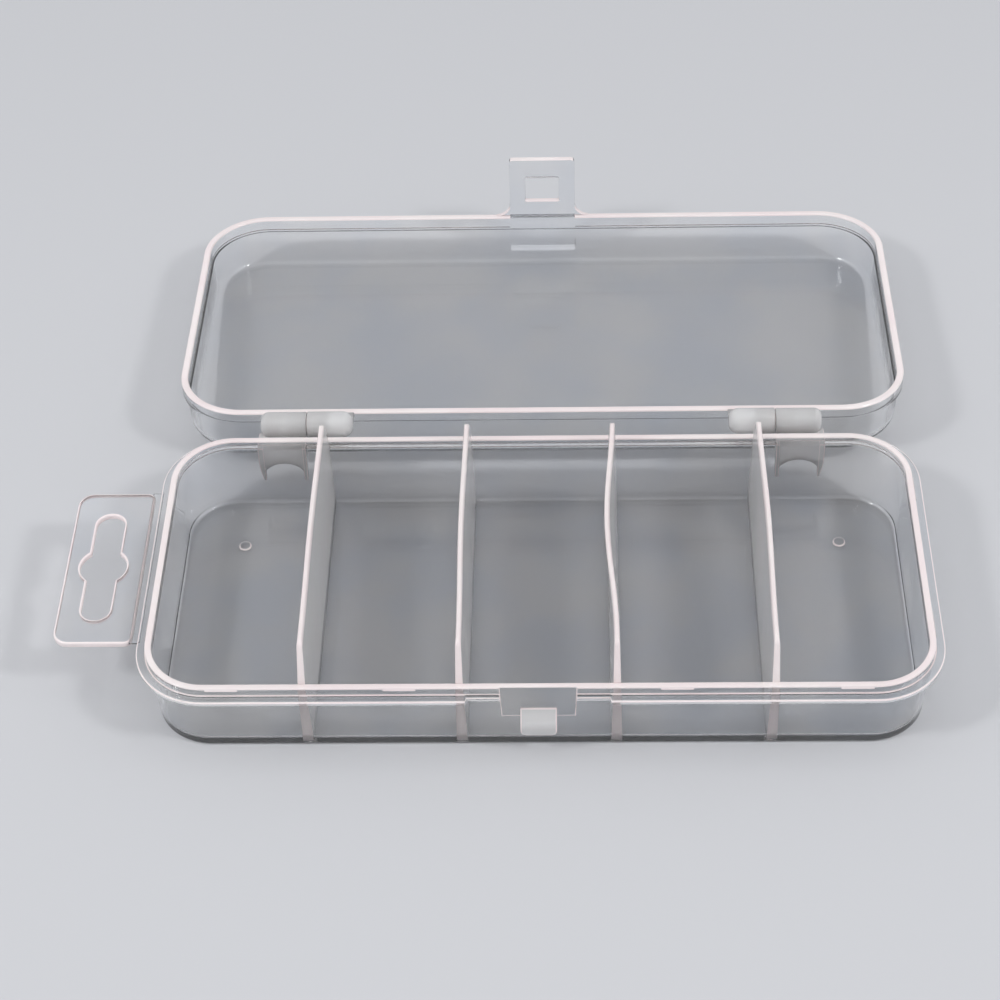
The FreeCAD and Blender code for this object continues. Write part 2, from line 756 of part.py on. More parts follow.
base_pieces = [boolean("Cut", "base_tray", tray_block, cavity)]
base_pieces += [build_divider(number, divider_room) for number in range(1, COMPARTMENTS)]
base_pieces.append(build_catch(tray_block))
clip = build_clip(tray_block)
pin = build_pin()
base_pieces += [clip, mirror("hinge_clip_left", clip), pin, mirror("hinge_pin_left", pin)]
base_pieces.append(build_hang_tab())

ear = build_ear(lid_block)
lid_pieces = [boolean("Cut", "lid_shell", lid_block, lid_hollow), ear, mirror("hinge_ear_left", ear)]
lid_pieces += [build_latch_plate(lid_block), build_latch_tab()]
doc.recompute()

turn = open_angle()
hinge_line = FreeCAD.Vector(0, hinge_y.value, hinge_z.value)
opened = FreeCAD.Placement(FreeCAD.Vector(), FreeCAD.Rotation(FreeCAD.Vector(1, 0, 0), -turn), hinge_line)
latch_line = opened.multVec(FreeCAD.Vector(0, -latch_outside.value, rim.value))
print(f"lid turns about X at y {hinge_line.y:.3f} z {hinge_line.z:.3f}, open by {turn:.3f} degrees")
print(f"latch flexes about X at y {latch_line.y:.3f} z {latch_line.z:.3f}")

for item in doc.Objects:
    if "Invalid" in item.State or "Error" in item.State:
        raise RuntimeError(f"{item.Label} failed: {item.State}")

os.makedirs("parts", exist_ok=True)
for piece in base_pieces + lid_pieces:
    shape = piece.Shape.copy()
    if piece in lid_pieces:
        shape.Placement = opened.multiply(shape.Placement)
    if shape.isNull() or not shape.isValid() or len(shape.Solids) != 1:
        raise RuntimeError(f"{piece.Label} is not one valid solid")
    shape.exportStep(f"parts/{piece.Label}.step")
    print(f"{piece.Label}: {shape.Volume:.1f} cubic mm")
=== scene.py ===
"""Clear tackle box with five compartments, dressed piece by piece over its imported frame.

The box is two mouldings of clear polypropylene, a base and a lid. Each of their features is a closed mesh
with moulded edges. Sizes in the classes are in millimetres, and the meshes are in metres.
"""

import json
import logging
import math
from collections.abc import Callable, Iterable, Sequence
from dataclasses import dataclass, replace
from enum import Enum

import bmesh
import bpy
from mathutils import Matrix, Vector


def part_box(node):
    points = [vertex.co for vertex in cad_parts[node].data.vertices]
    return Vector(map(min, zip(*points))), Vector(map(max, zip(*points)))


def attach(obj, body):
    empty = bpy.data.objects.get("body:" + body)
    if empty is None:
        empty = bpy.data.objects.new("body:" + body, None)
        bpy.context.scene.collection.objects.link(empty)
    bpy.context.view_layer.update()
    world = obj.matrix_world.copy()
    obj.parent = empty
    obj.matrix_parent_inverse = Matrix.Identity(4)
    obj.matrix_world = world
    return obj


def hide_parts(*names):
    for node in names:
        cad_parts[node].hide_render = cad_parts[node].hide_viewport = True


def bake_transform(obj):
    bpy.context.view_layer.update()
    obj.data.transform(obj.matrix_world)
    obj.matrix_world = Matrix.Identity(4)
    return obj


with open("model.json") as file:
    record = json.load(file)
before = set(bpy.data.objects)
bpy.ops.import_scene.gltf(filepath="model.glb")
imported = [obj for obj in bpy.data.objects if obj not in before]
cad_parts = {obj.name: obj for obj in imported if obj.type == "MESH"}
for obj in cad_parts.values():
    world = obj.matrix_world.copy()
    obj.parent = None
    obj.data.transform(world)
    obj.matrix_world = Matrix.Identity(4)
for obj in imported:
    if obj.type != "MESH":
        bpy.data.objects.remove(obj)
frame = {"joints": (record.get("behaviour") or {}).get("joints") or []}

LOG = logging.getLogger("tackle_box")
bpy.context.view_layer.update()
MM = 0.001
# Points nearer to each other than this, in mm, count as one place.
NEAR = 1e-3
# Double points this near, in mm, are welded.
WELD = 1e-4
# Edges that turn more than this, in degrees, get a moulded rounding.
SHARP_TURN = 35.0

Loop = list[Vector]
Ring = list[bmesh.types.BMVert]
# A face that a Lighting mask flags gets the second finish of the pair, the painted edge glow.
Lighting = Callable[[int, int], bool]
Finishes = tuple[bpy.types.Material, bpy.types.Material]
Placing = Callable[[Vector, float], Vector]


class Side(Enum):
    """The end of the box that a hinge piece is near."""

    LEFT = -1.0
    RIGHT = 1.0


class Joining(Enum):
    """How one closed form is worked into another."""

    ADD = "UNION"
    CUT = "DIFFERENCE"


class Body(Enum):
    """The moving bodies of the box."""

    BASE = "base"
    HANG_TAB = "hang_tab"
    LID = "lid"
    LATCH = "latch"


class BoxSizes(Enum):
    """Sizes over the base's ledge, read from the frame, in mm."""

    HALF_LENGTH = round(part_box("base_tray")[1].x / MM, 3)
    HALF_WIDTH = round(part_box("base_tray")[1].y / MM, 3)
    LIP_TOP = round(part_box("base_tray")[1].z / MM, 3)


def linear_colour(code: str) -> tuple[float, float, float, float]:
    """Turn an sRGB hex colour into linear light.

    Args:
        code: The colour as "#rrggbb".

    Returns:
        Linear red, green, blue and an alpha of one.
    """
    channels = [int(code[i:i + 2], 16) / 255 for i in (1, 3, 5)]
    linear = [c / 12.92 if c <= 0.04045 else ((c + 0.055) / 1.055) ** 2.4 for c in channels]
    return (*linear, 1.0)


def add_node(tree: bpy.types.NodeTree, kind: str, settings: dict, inputs: dict) -> bpy.types.Node:
    """Add a node with its settings and inputs.

    Args:
        tree: The node tree that gets the node.
        kind: Blender's name of the node type.
        settings: Values of the node's own properties.
        inputs: Values of its sockets by name or number; an output socket is linked.

    Returns:
        The new node.
    """
    node = tree.nodes.new(kind)
    for name, value in settings.items():
        setattr(node, name, value)
    for name, value in inputs.items():
        if isinstance(value, bpy.types.NodeSocket):
            tree.links.new(value, node.inputs[name])
        else:
            node.inputs[name].default_value = value
    return node


@dataclass(frozen=True)
class MouldedPolypropylene:
    """Polypropylene as it comes out of a polished mould.

    The plastic is clear where it is thin and turns milky where it is thick. Its skin is glossy, with the slow
    waves of the flow into the mould, faint clouds of haze and a few hairline scratches.
    """

    name: str
    colour: str
    haze_colour: str
    clearness: float
    gloss_roughness: float
    haze_roughness: float
    wave_depth: float
    scatter: float = 0.0
    scratch_share: float = 0.0
    ior: float = 1.49
    scatter_reach: float = 3.0
    haze_size: float = 26.0
    wave_size: float = 9.0
    # Real hairlines are some hundredths of a millimetre wide; they are drawn wider so that they show.
    scratch_size: float = 1.1
    scratch_stretch: float = 36.0
    scratch_turn: float = 0.45
    haze_span: tuple[float, float] = (0.38, 0.66)
    scratch_span: tuple[float, float] = (0.69, 0.76)

    def material(self) -> bpy.types.Material:
        """Make the material.

        Returns:
            The material, ready for a mesh.
        """
        made = bpy.data.materials.new(self.name)
        made.use_nodes = True
        tree = made.node_tree
        tree.nodes.clear()
        place = add_node(tree, "ShaderNodeTexCoord", {}, {}).outputs["Object"]
        haze = add_node(tree, "ShaderNodeTexNoise", {}, {
            "Vector": place, "Scale": 1 / (self.haze_size * MM), "Detail": 3.0, "Roughness": 0.6})
        cloud = add_node(tree, "ShaderNodeMapRange", {"interpolation_type": "SMOOTHSTEP"}, {
            "Value": haze.outputs["Fac"], "From Min": self.haze_span[0], "From Max": self.haze_span[1]})
        stretched = add_node(tree, "ShaderNodeMapping", {}, {
            "Vector": place, "Rotation": (0.0, 0.0, self.scratch_turn),
            "Scale": (1.0, self.scratch_stretch, 1.0)})
        hairs = add_node(tree, "ShaderNodeTexNoise", {}, {
            "Vector": stretched.outputs["Vector"], "Detail": 2.0,
            "Scale": 1 / (self.scratch_size * self.scratch_stretch * MM)})
        scratch = add_node(tree, "ShaderNodeMapRange", {}, {
            "Value": hairs.outputs["Fac"],
            "From Min": self.scratch_span[0], "From Max": self.scratch_span[1]})
        tint = add_node(tree, "ShaderNodeValToRGB", {}, {"Fac": cloud.outputs["Result"]})
        tint.color_ramp.elements[0].color = linear_colour(self.colour)
        tint.color_ramp.elements[1].color = linear_colour(self.haze_colour)
        skin = add_node(tree, "ShaderNodeMapRange", {}, {
            "Value": cloud.outputs["Result"], "To Min": self.gloss_roughness, "To Max": self.haze_roughness})
        rough = add_node(tree, "ShaderNodeMath", {"operation": "MULTIPLY_ADD"}, {
            0: scratch.outputs["Result"], 1: self.scratch_share, 2: skin.outputs["Result"]})
        wave = add_node(tree, "ShaderNodeTexNoise", {}, {
            "Vector": place, "Scale": 1 / (self.wave_size * MM), "Detail": 1.0})
        relief = add_node(tree, "ShaderNodeBump", {}, {
            "Height": wave.outputs["Fac"], "Strength": 1.0, "Distance": self.wave_depth * MM})
        plastic = add_node(tree, "ShaderNodeBsdfPrincipled", {}, {
            "Base Color": tint.outputs["Color"], "Roughness": rough.outputs["Value"],
            "IOR": self.ior, "Transmission Weight": self.clearness, "Subsurface Weight": self.scatter,
            "Subsurface Scale": self.scatter_reach * MM, "Subsurface Radius": (1.0, 1.0, 1.0),
            "Normal": relief.outputs["Normal"]})
        add_node(tree, "ShaderNodeOutputMaterial", {}, {"Surface": plastic.outputs["BSDF"]})
        return made


# Thin walls: nearly clear, a touch blue, with a soft haze and a few hairlines.
CLEAR_WALL = MouldedPolypropylene(
    "clear_moulded_polypropylene", "#ffffff", "#f8fafd", 0.97, 0.04, 0.12, 0.04, scratch_share=0.12)
# Thick walls: light scatters in them, so they read as milk glass.
MILKY_WALL = MouldedPolypropylene(
    "milky_moulded_polypropylene", "#fffdfc", "#fcf7f6", 0.45, 0.06, 0.13, 0.03, scatter=1.0)
# Rims seen edge-on: painted glow, white with a warm touch. A less clear plastic stands in for the light that
# runs along the thin walls and comes out here.
PAINTED_EDGE_GLOW = MouldedPolypropylene(
    "painted_edge_glow_polypropylene", "#fff0ee", "#fce8e8", 0.15, 0.1, 0.18, 0.02, scatter=0.5)


@dataclass(frozen=True)
class Corner:
    """A corner of an outline, in mm.

    Attributes:
        across: Its place across.
        up: Its place up.
        radius: The radius that rounds it, or zero.
    """

    across: float
    up: float
    radius: float = 0.0


def round_corners(corners: Sequence[Corner], closed: bool, step: float = 15.0) -> Loop:
    """Draw a line through corners, with the rounded ones as arcs.

    Args:
        corners: The corners in order.
        closed: Whether the line goes back to its start.
        step: The largest turn between two points of an arc, in degrees.

    Returns:
        The points of the line.
    """
    places = [Vector((c.across, c.up)) for c in corners]
    points: Loop = []
    for i, (corner, here) in enumerate(zip(corners, places)):
        if corner.radius == 0 or (not closed and i in (0, len(corners) - 1)):
            points.append(here)
            continue
        back = (places[i - 1] - here).normalized()
        ahead = (places[(i + 1) % len(places)] - here).normalized()
        half = back.angle(ahead) / 2
        middle = here + (back + ahead).normalized() * (corner.radius / math.sin(half))
        spoke = here + back * (corner.radius / math.tan(half)) - middle
        turn = math.copysign(math.pi - 2 * half, -back.cross(ahead))
        steps = max(2, math.ceil(abs(math.degrees(turn)) / step))
        points += [middle + Matrix.Rotation(turn * k / steps, 2) @ spoke for k in range(steps + 1)]
    return points


def arc(middle: Vector, radius: float, start: float, end: float, step: float = 7.5) -> Loop:
    """Points on an arc.

    Args:
        middle: The arc's middle.
        radius: Its radius in mm.
        start: The angle of its first point, in degrees.
        end: The angle of its last point, in degrees.
        step: The largest turn between two points, in degrees.

    Returns:
        The points in order.
    """
    steps = max(2, math.ceil(abs(end - start) / step))
    turns = [math.radians(start + (end - start) * k / steps) for k in range(steps + 1)]
    return [middle + radius * Vector((math.cos(t), math.sin(t))) for t in turns]


def circle(middle: Vector, radius: float, sides: int) -> Loop:
    """Points on a full circle, anticlockwise."""
    return arc(middle, radius, 0, 360 - 360 / sides, 360 / sides)


def quarter_turn(steps: int) -> list[float]:
    """Angles from zero to a quarter turn in equal steps, in radians."""
    return [math.pi / 2 * k / steps for k in range(steps + 1)]


def rounded_rectangle(low: tuple[float, float], high: tuple[float, float], radii: Sequence[float]) -> Loop:
    """Draw a rectangle with rounded corners, anticlockwise.

    Args:
        low: Its low left corner.
        high: Its high right corner.
        radii: The radius at each corner, from the low left one.

    Returns:
        The points of the rectangle.
    """
    (left, bottom), (right, top) = low, high
    places = ((left, bottom), (right, bottom), (right, top), (left, top))
    return round_corners([Corner(*place, radius) for place, radius in zip(places, radii)], closed=True)


def moved_left(loop: Loop, distance: float, least: float = 0.4) -> Loop:
    """Move a closed loop towards its left side, where the material is.

    Args:
        loop: The loop's points in order.
        distance: How far it moves, in mm.
        least: Keeps the point of a sharp corner from moving too far.

    Returns:
        The moved loop.
    """
    moved: Loop = []
    for before, here, after in zip(loop[-1:] + loop[:-1], loop, loop[1:] + loop[:1]):
        first = (here - before).orthogonal().normalized()
        second = (after - here).orthogonal().normalized()
        middle = (first + second).normalized()
        moved.append(here + middle * (distance / max(least, middle.dot(first))))
    return moved


class Mould:
    """A closed mesh in the making."""

    def __init__(self) -> None:
        """Start with an empty mesh."""
        self.mesh = bmesh.new()

    def ring(self, points: Iterable[Vector]) -> Ring:
        """Add points, given in mm, and return their vertices."""
        return [self.mesh.verts.new(point * MM) for point in points]

    def skin(self, rings: Sequence[Ring], closed_rings: bool, closed_run: bool,
             lit: Lighting = lambda k, i: False) -> None:
        """Lay a skin of quads over rings.

        Args:
            rings: Rings with the same number of vertices, in order.
            closed_rings: Whether each ring meets its own start.
            closed_run: Whether the last ring meets the first.
            lit: Tells whether the face after a ring and a vertex of it gets the painted edge glow.
        """
        pairs = zip(rings, [*rings[1:], rings[0]]) if closed_run else zip(rings, rings[1:])
        for k, (ring, after) in enumerate(pairs):
            count = len(ring) if closed_rings else len(ring) - 1
            for i in range(count):
                j = (i + 1) % len(ring)
                face = self.mesh.faces.new((ring[i], ring[j], after[j], after[i]))
                face.material_index = int(lit(k, i))

    def fill(self, loops: Sequence[Ring], lit: bool = False) -> None:
        """Fill a flat place.

        Args:
            loops: The loop round the place, then the loops of the holes in it.
            lit: Whether a place without holes gets the painted edge glow.
        """
        if len(loops) == 1:
            self.mesh.faces.new(loops[0]).material_index = int(lit)
            return
        edges = []
        for loop in loops:
            for a, b in zip(loop, loop[1:] + loop[:1]):
                edges.append(self.mesh.edges.get((a, b)) or self.mesh.edges.new((a, b)))
        bmesh.ops.triangle_fill(self.mesh, use_beauty=True, edges=edges)

    def solid(self, rings: Sequence[Ring],
              lit: Lighting = lambda k, i: False, lit_end: bool = False) -> None:
        """Lay a skin over closed rings and fill the first and the last of them.

        Args:
            rings: Rings with the same number of vertices, in order.
            lit: Tells whether the face after a ring and a vertex of it gets the painted edge glow.
            lit_end: Whether the filling of the last ring gets the painted edge glow.
        """
        self.skin(rings, True, False, lit)
        self.fill(rings[:1])
        self.fill(rings[-1:], lit_end)

    def plate(self, outlines: Sequence[Loop], half: float, edge: float, place: Placing,
              lit: Callable[[Vector], bool] = lambda point: True, steps: int = 4) -> None:
        """Add a plate with rounded edges.

        Args:
            outlines: The outline anticlockwise, then its holes clockwise.
            half: Half of the plate's thickness in mm.
            edge: The radius of its edges in mm.
            place: Gives the point in the box for a point of the outline and a height over the plate's middle.
            lit: Tells whether the plate's edge gets the painted edge glow at a point of an outline.
            steps: The number of faces over each rounded edge.
        """
        quarter = quarter_turn(steps)
        rises = [(edge * (1 - math.cos(t)), edge - half - edge * math.sin(t)) for t in reversed(quarter)]
        rises += [(edge * (1 - math.cos(t)), half - edge + edge * math.sin(t)) for t in quarter]
        low, high = [], []
        for outline in outlines:
            rings = [self.ring(place(p, rise) for p in moved_left(outline, inward)) for inward, rise in rises]
            glow = [lit((a + b) / 2) for a, b in zip(outline, outline[1:] + outline[:1])]
            self.skin(rings, True, False, lambda k, i: glow[i])
            low.append(rings[0])
            high.append(rings[-1])
        self.fill(low)
        self.fill(high)

    def prism(self, outline: Loop, place: Placing, start: float, end: float, lit: bool = False) -> None:
        """Add a straight block.

        Args:
            outline: Its closed outline.
            place: Gives the point in the box for a point of the outline and a place along the block.
            start: Where the block starts, in mm.
            end: Where it ends, in mm.
            lit: Whether its sides get the painted edge glow.
        """
        self.solid([self.ring(place(p, along) for p in outline) for along in (start, end)], lambda k, i: lit)

    def soften(self, width: float, chosen: Callable[[bmesh.types.BMEdge], bool], steps: int = 3,
               lit: bool = False) -> None:
        """Round edges of the mesh.

        Args:
            width: How far the rounding reaches from each edge, in mm.
            chosen: Tells whether an edge is rounded.
            steps: The number of faces over each rounding.
            lit: Whether the roundings get the painted edge glow.
        """
        self.mesh.normal_update()
        edges = [edge for edge in self.mesh.edges if chosen(edge)]
        bmesh.ops.bevel(self.mesh, geom=edges, offset=width * MM, offset_type="OFFSET", segments=steps,
                        profile=0.5, affect="EDGES", clamp_overlap=True, material=int(lit))

    def tidy(self) -> None:
        """Weld double points and turn every face outwards."""
        bmesh.ops.remove_doubles(self.mesh, verts=self.mesh.verts[:], dist=WELD * MM)
        bmesh.ops.recalc_face_normals(self.mesh, faces=self.mesh.faces[:])

    def work_in(self, other: "Mould", joining: Joining) -> None:
        """Add another closed form to this one, or cut it out.

        Args:
            other: The other form, which is used up.
            joining: Whether it is added or cut out.
        """
        self.tidy()
        other.tidy()
        made = []
        for mould in (self, other):
            data = bpy.data.meshes.new("blank")
            mould.mesh.to_mesh(data)
            made.append(bpy.data.objects.new("blank", data))
            bpy.context.scene.collection.objects.link(made[-1])
        other.mesh.free()
        modifier = made[0].modifiers.new("join", "BOOLEAN")
        modifier.operation = joining.value
        modifier.solver = "EXACT"
        modifier.object = made[1]
        worked = made[0].evaluated_get(bpy.context.evaluated_depsgraph_get())
        self.mesh.clear()
        self.mesh.from_mesh(worked.to_mesh())
        worked.to_mesh_clear()
        for blank in made:
            data = blank.data
            bpy.data.objects.remove(blank)
            bpy.data.meshes.remove(data)

    def cast(self, name: str, finishes: Finishes, turn: Matrix | None = None) -> bpy.types.Object:
        """Turn the mesh into an object of the scene.

        Args:
            name: The object's name.
            finishes: What its faces and its faces with the painted edge glow are made of.
            turn: Moves the mesh to its place, if it isn't drawn there.

        Returns:
            The object.
        """
        self.tidy()
        data = bpy.data.meshes.new(name)
        self.mesh.to_mesh(data)
        self.mesh.free()
        if turn is not None:
            data.transform(turn)
        data.shade_smooth()
        for material in finishes:
            data.materials.append(material)
        piece = bpy.data.objects.new(name, data)
        bpy.context.scene.collection.objects.link(piece)
        # Flat faces stay flat to the eye beside their rounded edges.
        piece.modifiers.new("flat_faces", "WEIGHTED_NORMAL")
        return piece


def sharp(edge: bmesh.types.BMEdge) -> bool:
    """Whether an edge is sharp enough for a moulded rounding."""
    return len(edge.link_faces) == 2 and edge.calc_face_angle() > math.radians(SHARP_TURN)


def in_yz(point: Vector, along: float) -> Vector:
    """Place a point of a side view, with the block running along the box."""
    return Vector((along, point.x, point.y))


def in_xz(point: Vector, along: float) -> Vector:
    """Place a point of a front view, with the block running to the back."""
    return Vector((point.x, along, point.y))


def in_xy(point: Vector, along: float) -> Vector:
    """Place a point of a top view, with the block running up."""
    return Vector((point.x, point.y, along))


def stand_for(piece: bpy.types.Object, nodes: Sequence[str]) -> None:
    """Let a piece stand for nodes of the frame, whose meshes are hidden.

    Args:
        piece: The piece in its place.
        nodes: The names of the nodes.
    """
    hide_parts(*nodes)
    LOG.info("%s stands for %s", piece.name, ", ".join(nodes))


def settle(piece: bpy.types.Object, body: Body, nodes: Sequence[str]) -> None:
    """Let a piece stand for nodes and ride on their body."""
    stand_for(piece, nodes)
    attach(piece, body.value)


@dataclass(frozen=True)
class WallMark:
    """A place along a straight side where the wall's section changes.

    Attributes:
        along: Its place along the side, in mm from the middle.
        bead: How much of the snap bead stands there, from 0 to 1.
        ledge: How much of the ledge's reach is left there, from 0 to 1.
        pad: How much of the flat latch pad is there, from 0 to 1.
    """

    along: float
    bead: float = 0.0
    ledge: float = 1.0
    pad: float = 0.0


def both_sides(marks: Sequence[WallMark]) -> list[WallMark]:
    """Add the mirror images of marks on the right half of a side."""
    return [*marks, *(replace(mark, along=-mark.along) for mark in marks)]


@dataclass(frozen=True)
class Station:
    """A place on the outline where the wall's section is drawn, with the direction outwards."""

    foot: Vector
    outward: Vector
    mark: WallMark

    def point(self, inset: float, up: float) -> Vector:
        """Give the point that far inside the outline and that high, in mm."""
        place = self.foot - self.outward * inset
        return Vector((place.x, place.y, up))


@dataclass(frozen=True)
class LedgeOutline:
    """The rounded rectangle over the base's ledge, which all walls of the box run parallel to."""

    half_length: float
    half_width: float
    corner_radius: float = 15.7
    corner_steps: int = 18

    def stations(self, front: Sequence[WallMark] = (), ends: Sequence[WallMark] = ()) -> list[Station]:
        """List the stations round the box.

        Args:
            front: Marks on the front side, in any order.
            ends: Marks on the two short sides.

        Returns:
            The stations anticlockwise, seen from above.
        """
        length, width, radius = self.half_length, self.half_width, self.corner_radius
        sides = [
            (Vector((0, -width)), Vector((1, 0)), length - radius, front),
            (Vector((length, 0)), Vector((0, 1)), width - radius, ends),
            (Vector((0, width)), Vector((-1, 0)), length - radius, ()),
            (Vector((-length, 0)), Vector((0, -1)), width - radius, ends)]
        found: list[Station] = []
        for middle, forward, straight, marks in sides:
            outward = middle.normalized()
            ordered = sorted([WallMark(-straight), *marks, WallMark(straight)], key=lambda mark: mark.along)
            found += [Station(middle + forward * mark.along, outward, mark) for mark in ordered]
            centre = middle + forward * straight - outward * radius
            for turn in quarter_turn(self.corner_steps)[1:-1]:
                spoke = outward * math.cos(turn) + forward * math.sin(turn)
                found.append(Station(centre + spoke * radius, spoke, WallMark(straight)))
        return found


@dataclass
class WalledShell:
    """A shell whose wall has one section, drawn round the box's outline and changed at marks."""

    finishes: Finishes
    outline: LedgeOutline

    def __post_init__(self) -> None:
        """Draw the plain section and find the points of it that change at the latch."""
        self.plain: Loop = self.profile()
        self.changed: range = self.latch_stretch()

    def stretch(self, starts: Callable[[Vector], bool], end: float) -> range:
        """Find a stretch of the plain section.

        Args:
            starts: Tells whether a point can start it.
            end: The height that it ends at, in mm.

        Returns:
            The numbers of its points.
        """
        first = next(i for i, point in enumerate(self.plain) if starts(point))
        last = min(range(first, len(self.plain)), key=lambda i: abs(self.plain[i].y - end))
        return range(first, last + 1)

    def raise_walls(self, mould: Mould, front: Sequence[WallMark],
                    ends: Sequence[WallMark] = ()) -> list[Ring]:
        """Draw the wall's section round the outline and lay the wall's skin.

        Args:
            mould: The mesh that gets the wall.
            front: Marks on the front side.
            ends: Marks on the two short sides.

        Returns:
            The vertices of each section.
        """
        stations = self.outline.stations(front, ends)
        rings = [mould.ring(self.section(station)) for station in stations]
        marks = [station.mark for station in stations]
        pairs = list(zip(marks, marks[1:] + marks[:1]))
        mould.skin(rings, False, True, lambda k, i: self.edge_lit(i, *pairs[k]))
        return rings


@dataclass
class BaseTray(WalledShell):
    """The tray of the base: floor, leaning walls, ledge, lip with snap beads, latch bay and latch pad."""

    lip_top: float
    floor: float = 1.2
    ledge_top: float = 17.5
    ledge_low: float = 16.4
    lip_inset: float = 2.1
    mouth_inset: float = 3.5
    cavity_inset: float = 4.5
    foot_inset: float = 3.3
    cavity_radius: float = 1.6
    foot_radius: float = 1.0
    lip_round: float = 0.3
    lip_glow: float = 0.4
    ledge_round: float = 0.3
    nook_round: float = 0.25
    flat_run: float = 2.4
    bead_low: float = 18.4
    bead_top: float = 19.2
    bead_length: float = 7.4
    bead_reach: float = 0.2
    front_beads: tuple[float, ...] = (-66.3, -29.0, 29.0, 66.3)
    end_beads: tuple[float, ...] = (-20.5, 20.5)
    bead_soft: float = 0.25
    bay_half: float = 15.3
    bay_ledge: float = 1.0
    pad_half: float = 8.0
    pad_foot: float = 10.3
    pad_inset: float = 2.35
    pad_narrowing: float = 0.4
    step_soft: float = 0.25
    pip_x: float = 68.4
    pip_y: float = 21.2
    pip_radius: float = 1.45
    pip_height: float = 0.3
    pip_steps: int = 3
    pip_sides: int = 24

    def wall_inset(self, up: float) -> float:
        """Give the inset of the leaning outer wall at a height."""
        lean = (self.foot_inset - self.lip_inset) / self.ledge_top
        return self.foot_inset - lean * up

    def lip_glow_share(self) -> float:
        """Give how far up the inside of the wall the lip's painted glow starts, as a share of its height."""
        return 1 - self.lip_glow / (self.lip_top - self.floor)

    def profile(self) -> Loop:
        """Draw the wall's plain section as inset and height.

        Returns:
            The section's points, from the floor inside to the underside.
        """
        corners = [
            Corner(self.cavity_inset + self.flat_run, self.floor),
            Corner(self.cavity_inset, self.floor, self.cavity_radius),
            Corner(self.cavity_inset + self.lip_glow_share() * (self.mouth_inset - self.cavity_inset),
                   self.lip_top - self.lip_glow),
            Corner(self.mouth_inset, self.lip_top, self.lip_round),
            Corner(self.lip_inset, self.lip_top, self.lip_round)]
        corners += [Corner(self.lip_inset, up) for up in (
            self.bead_top, self.bead_top - self.bead_soft, self.bead_low + self.bead_soft, self.bead_low)]
        corners += [
            Corner(self.lip_inset, self.ledge_top, self.nook_round),
            Corner(0.0, self.ledge_top, self.ledge_round),
            Corner(0.0, self.ledge_low, self.ledge_round),
            Corner(self.wall_inset(self.ledge_low), self.ledge_low, self.nook_round)]
        corners += [Corner(self.wall_inset(up), up) for up in (
            self.pad_foot + self.step_soft, self.pad_foot - self.step_soft)]
        corners += [
            Corner(self.foot_inset, 0.0, self.foot_radius),
            Corner(self.foot_inset + self.flat_run, 0.0)]
        return round_corners(corners, closed=False)

    def latch_stretch(self) -> range:
        """Find the points of the section that the latch pad takes over, from under the lip's rounding."""
        inset, top = self.lip_inset + NEAR, self.lip_top - self.lip_round + NEAR
        return self.stretch(lambda p: p.x < inset and p.y < top, self.pad_foot + self.step_soft)

    def edge_lit(self, i: int, before: WallMark, after: WallMark) -> bool:
        """Tell where the glow is painted, where light gathers: on the lip, in its nook, on the ledge's edge
        and on the pad's steps.

        Args:
            i: The number of the section's point that the face follows.
            before: The mark at the face's one side.
            after: The mark at its other side.

        Returns:
            Whether the face gets the painted glow.
        """
        if i in self.changed and (before.pad or after.pad):
            return before.pad != after.pad or i == self.changed[-1]
        inset, up = (self.plain[i] + self.plain[i + 1]) / 2
        if i <= self.changed[0]:
            return up > self.lip_top - self.lip_glow
        on_bead = before.bead + after.bead == 2 and self.bead_top - self.bead_soft < up < self.bead_top
        in_nook = abs(inset - self.lip_inset) < self.nook_round and 0 < up - self.ledge_top < self.nook_round
        on_ledge = inset < self.ledge_round and up > self.ledge_top - self.ledge_round
        return on_bead or in_nook or on_ledge

    def section(self, station: Station) -> list[Vector]:
        """Draw the wall's section at a station.

        Args:
            station: The place on the outline.

        Returns:
            The section's points in the box.
        """
        mark = station.mark
        shoulder = self.lip_top - self.lip_round
        first, last = self.changed[0], self.changed[-1]
        beside_pad = mark.ledge < 1 and abs(mark.along) < self.pad_half + self.step_soft + NEAR
        points = []
        for i, (inset, up) in enumerate(self.plain):
            if inset < self.lip_inset - NEAR:
                inset = self.lip_inset - (self.lip_inset - inset) * mark.ledge
            elif first <= i and self.bead_low < up < self.bead_top:
                inset -= self.bead_reach * mark.bead
            if mark.pad and first <= i <= last:
                inset = self.pad_inset
                up = shoulder + (self.pad_foot + self.step_soft - shoulder) * (i - first) / (last - first)
            elif mark.pad and i < first and inset < (self.lip_inset + self.mouth_inset) / 2:
                inset += self.pad_inset - self.lip_inset
            point = station.point(inset, up)
            if beside_pad:
                share = min(1.0, max(0.0, (self.lip_top - up) / (self.lip_top - self.pad_foot)))
                point.x -= math.copysign(self.pad_narrowing * share, mark.along)
            points.append(point)
        return points

    def beads(self, middles: Sequence[float]) -> list[WallMark]:
        """List the marks of snap beads on a side.

        Args:
            middles: The places of the beads' middles along the side, in mm.

        Returns:
            The marks.
        """
        half = self.bead_length / 2
        ramp = [(-half, 0.0), (self.bead_soft - half, 1.0), (half - self.bead_soft, 1.0), (half, 0.0)]
        return [WallMark(middle + along, bead) for middle in middles for along, bead in ramp]

    def front_marks(self) -> list[WallMark]:
        """List the marks of the front side: latch bay, latch pad and beads.

        Returns:
            The marks.
        """
        short = self.bay_ledge / self.lip_inset
        bay = [
            WallMark(self.bay_half),
            WallMark(self.bay_half - self.step_soft, ledge=short),
            WallMark(self.pad_half + self.step_soft, ledge=short),
            WallMark(self.pad_half, ledge=short, pad=1.0)]
        return both_sides(bay) + self.beads(self.front_beads)

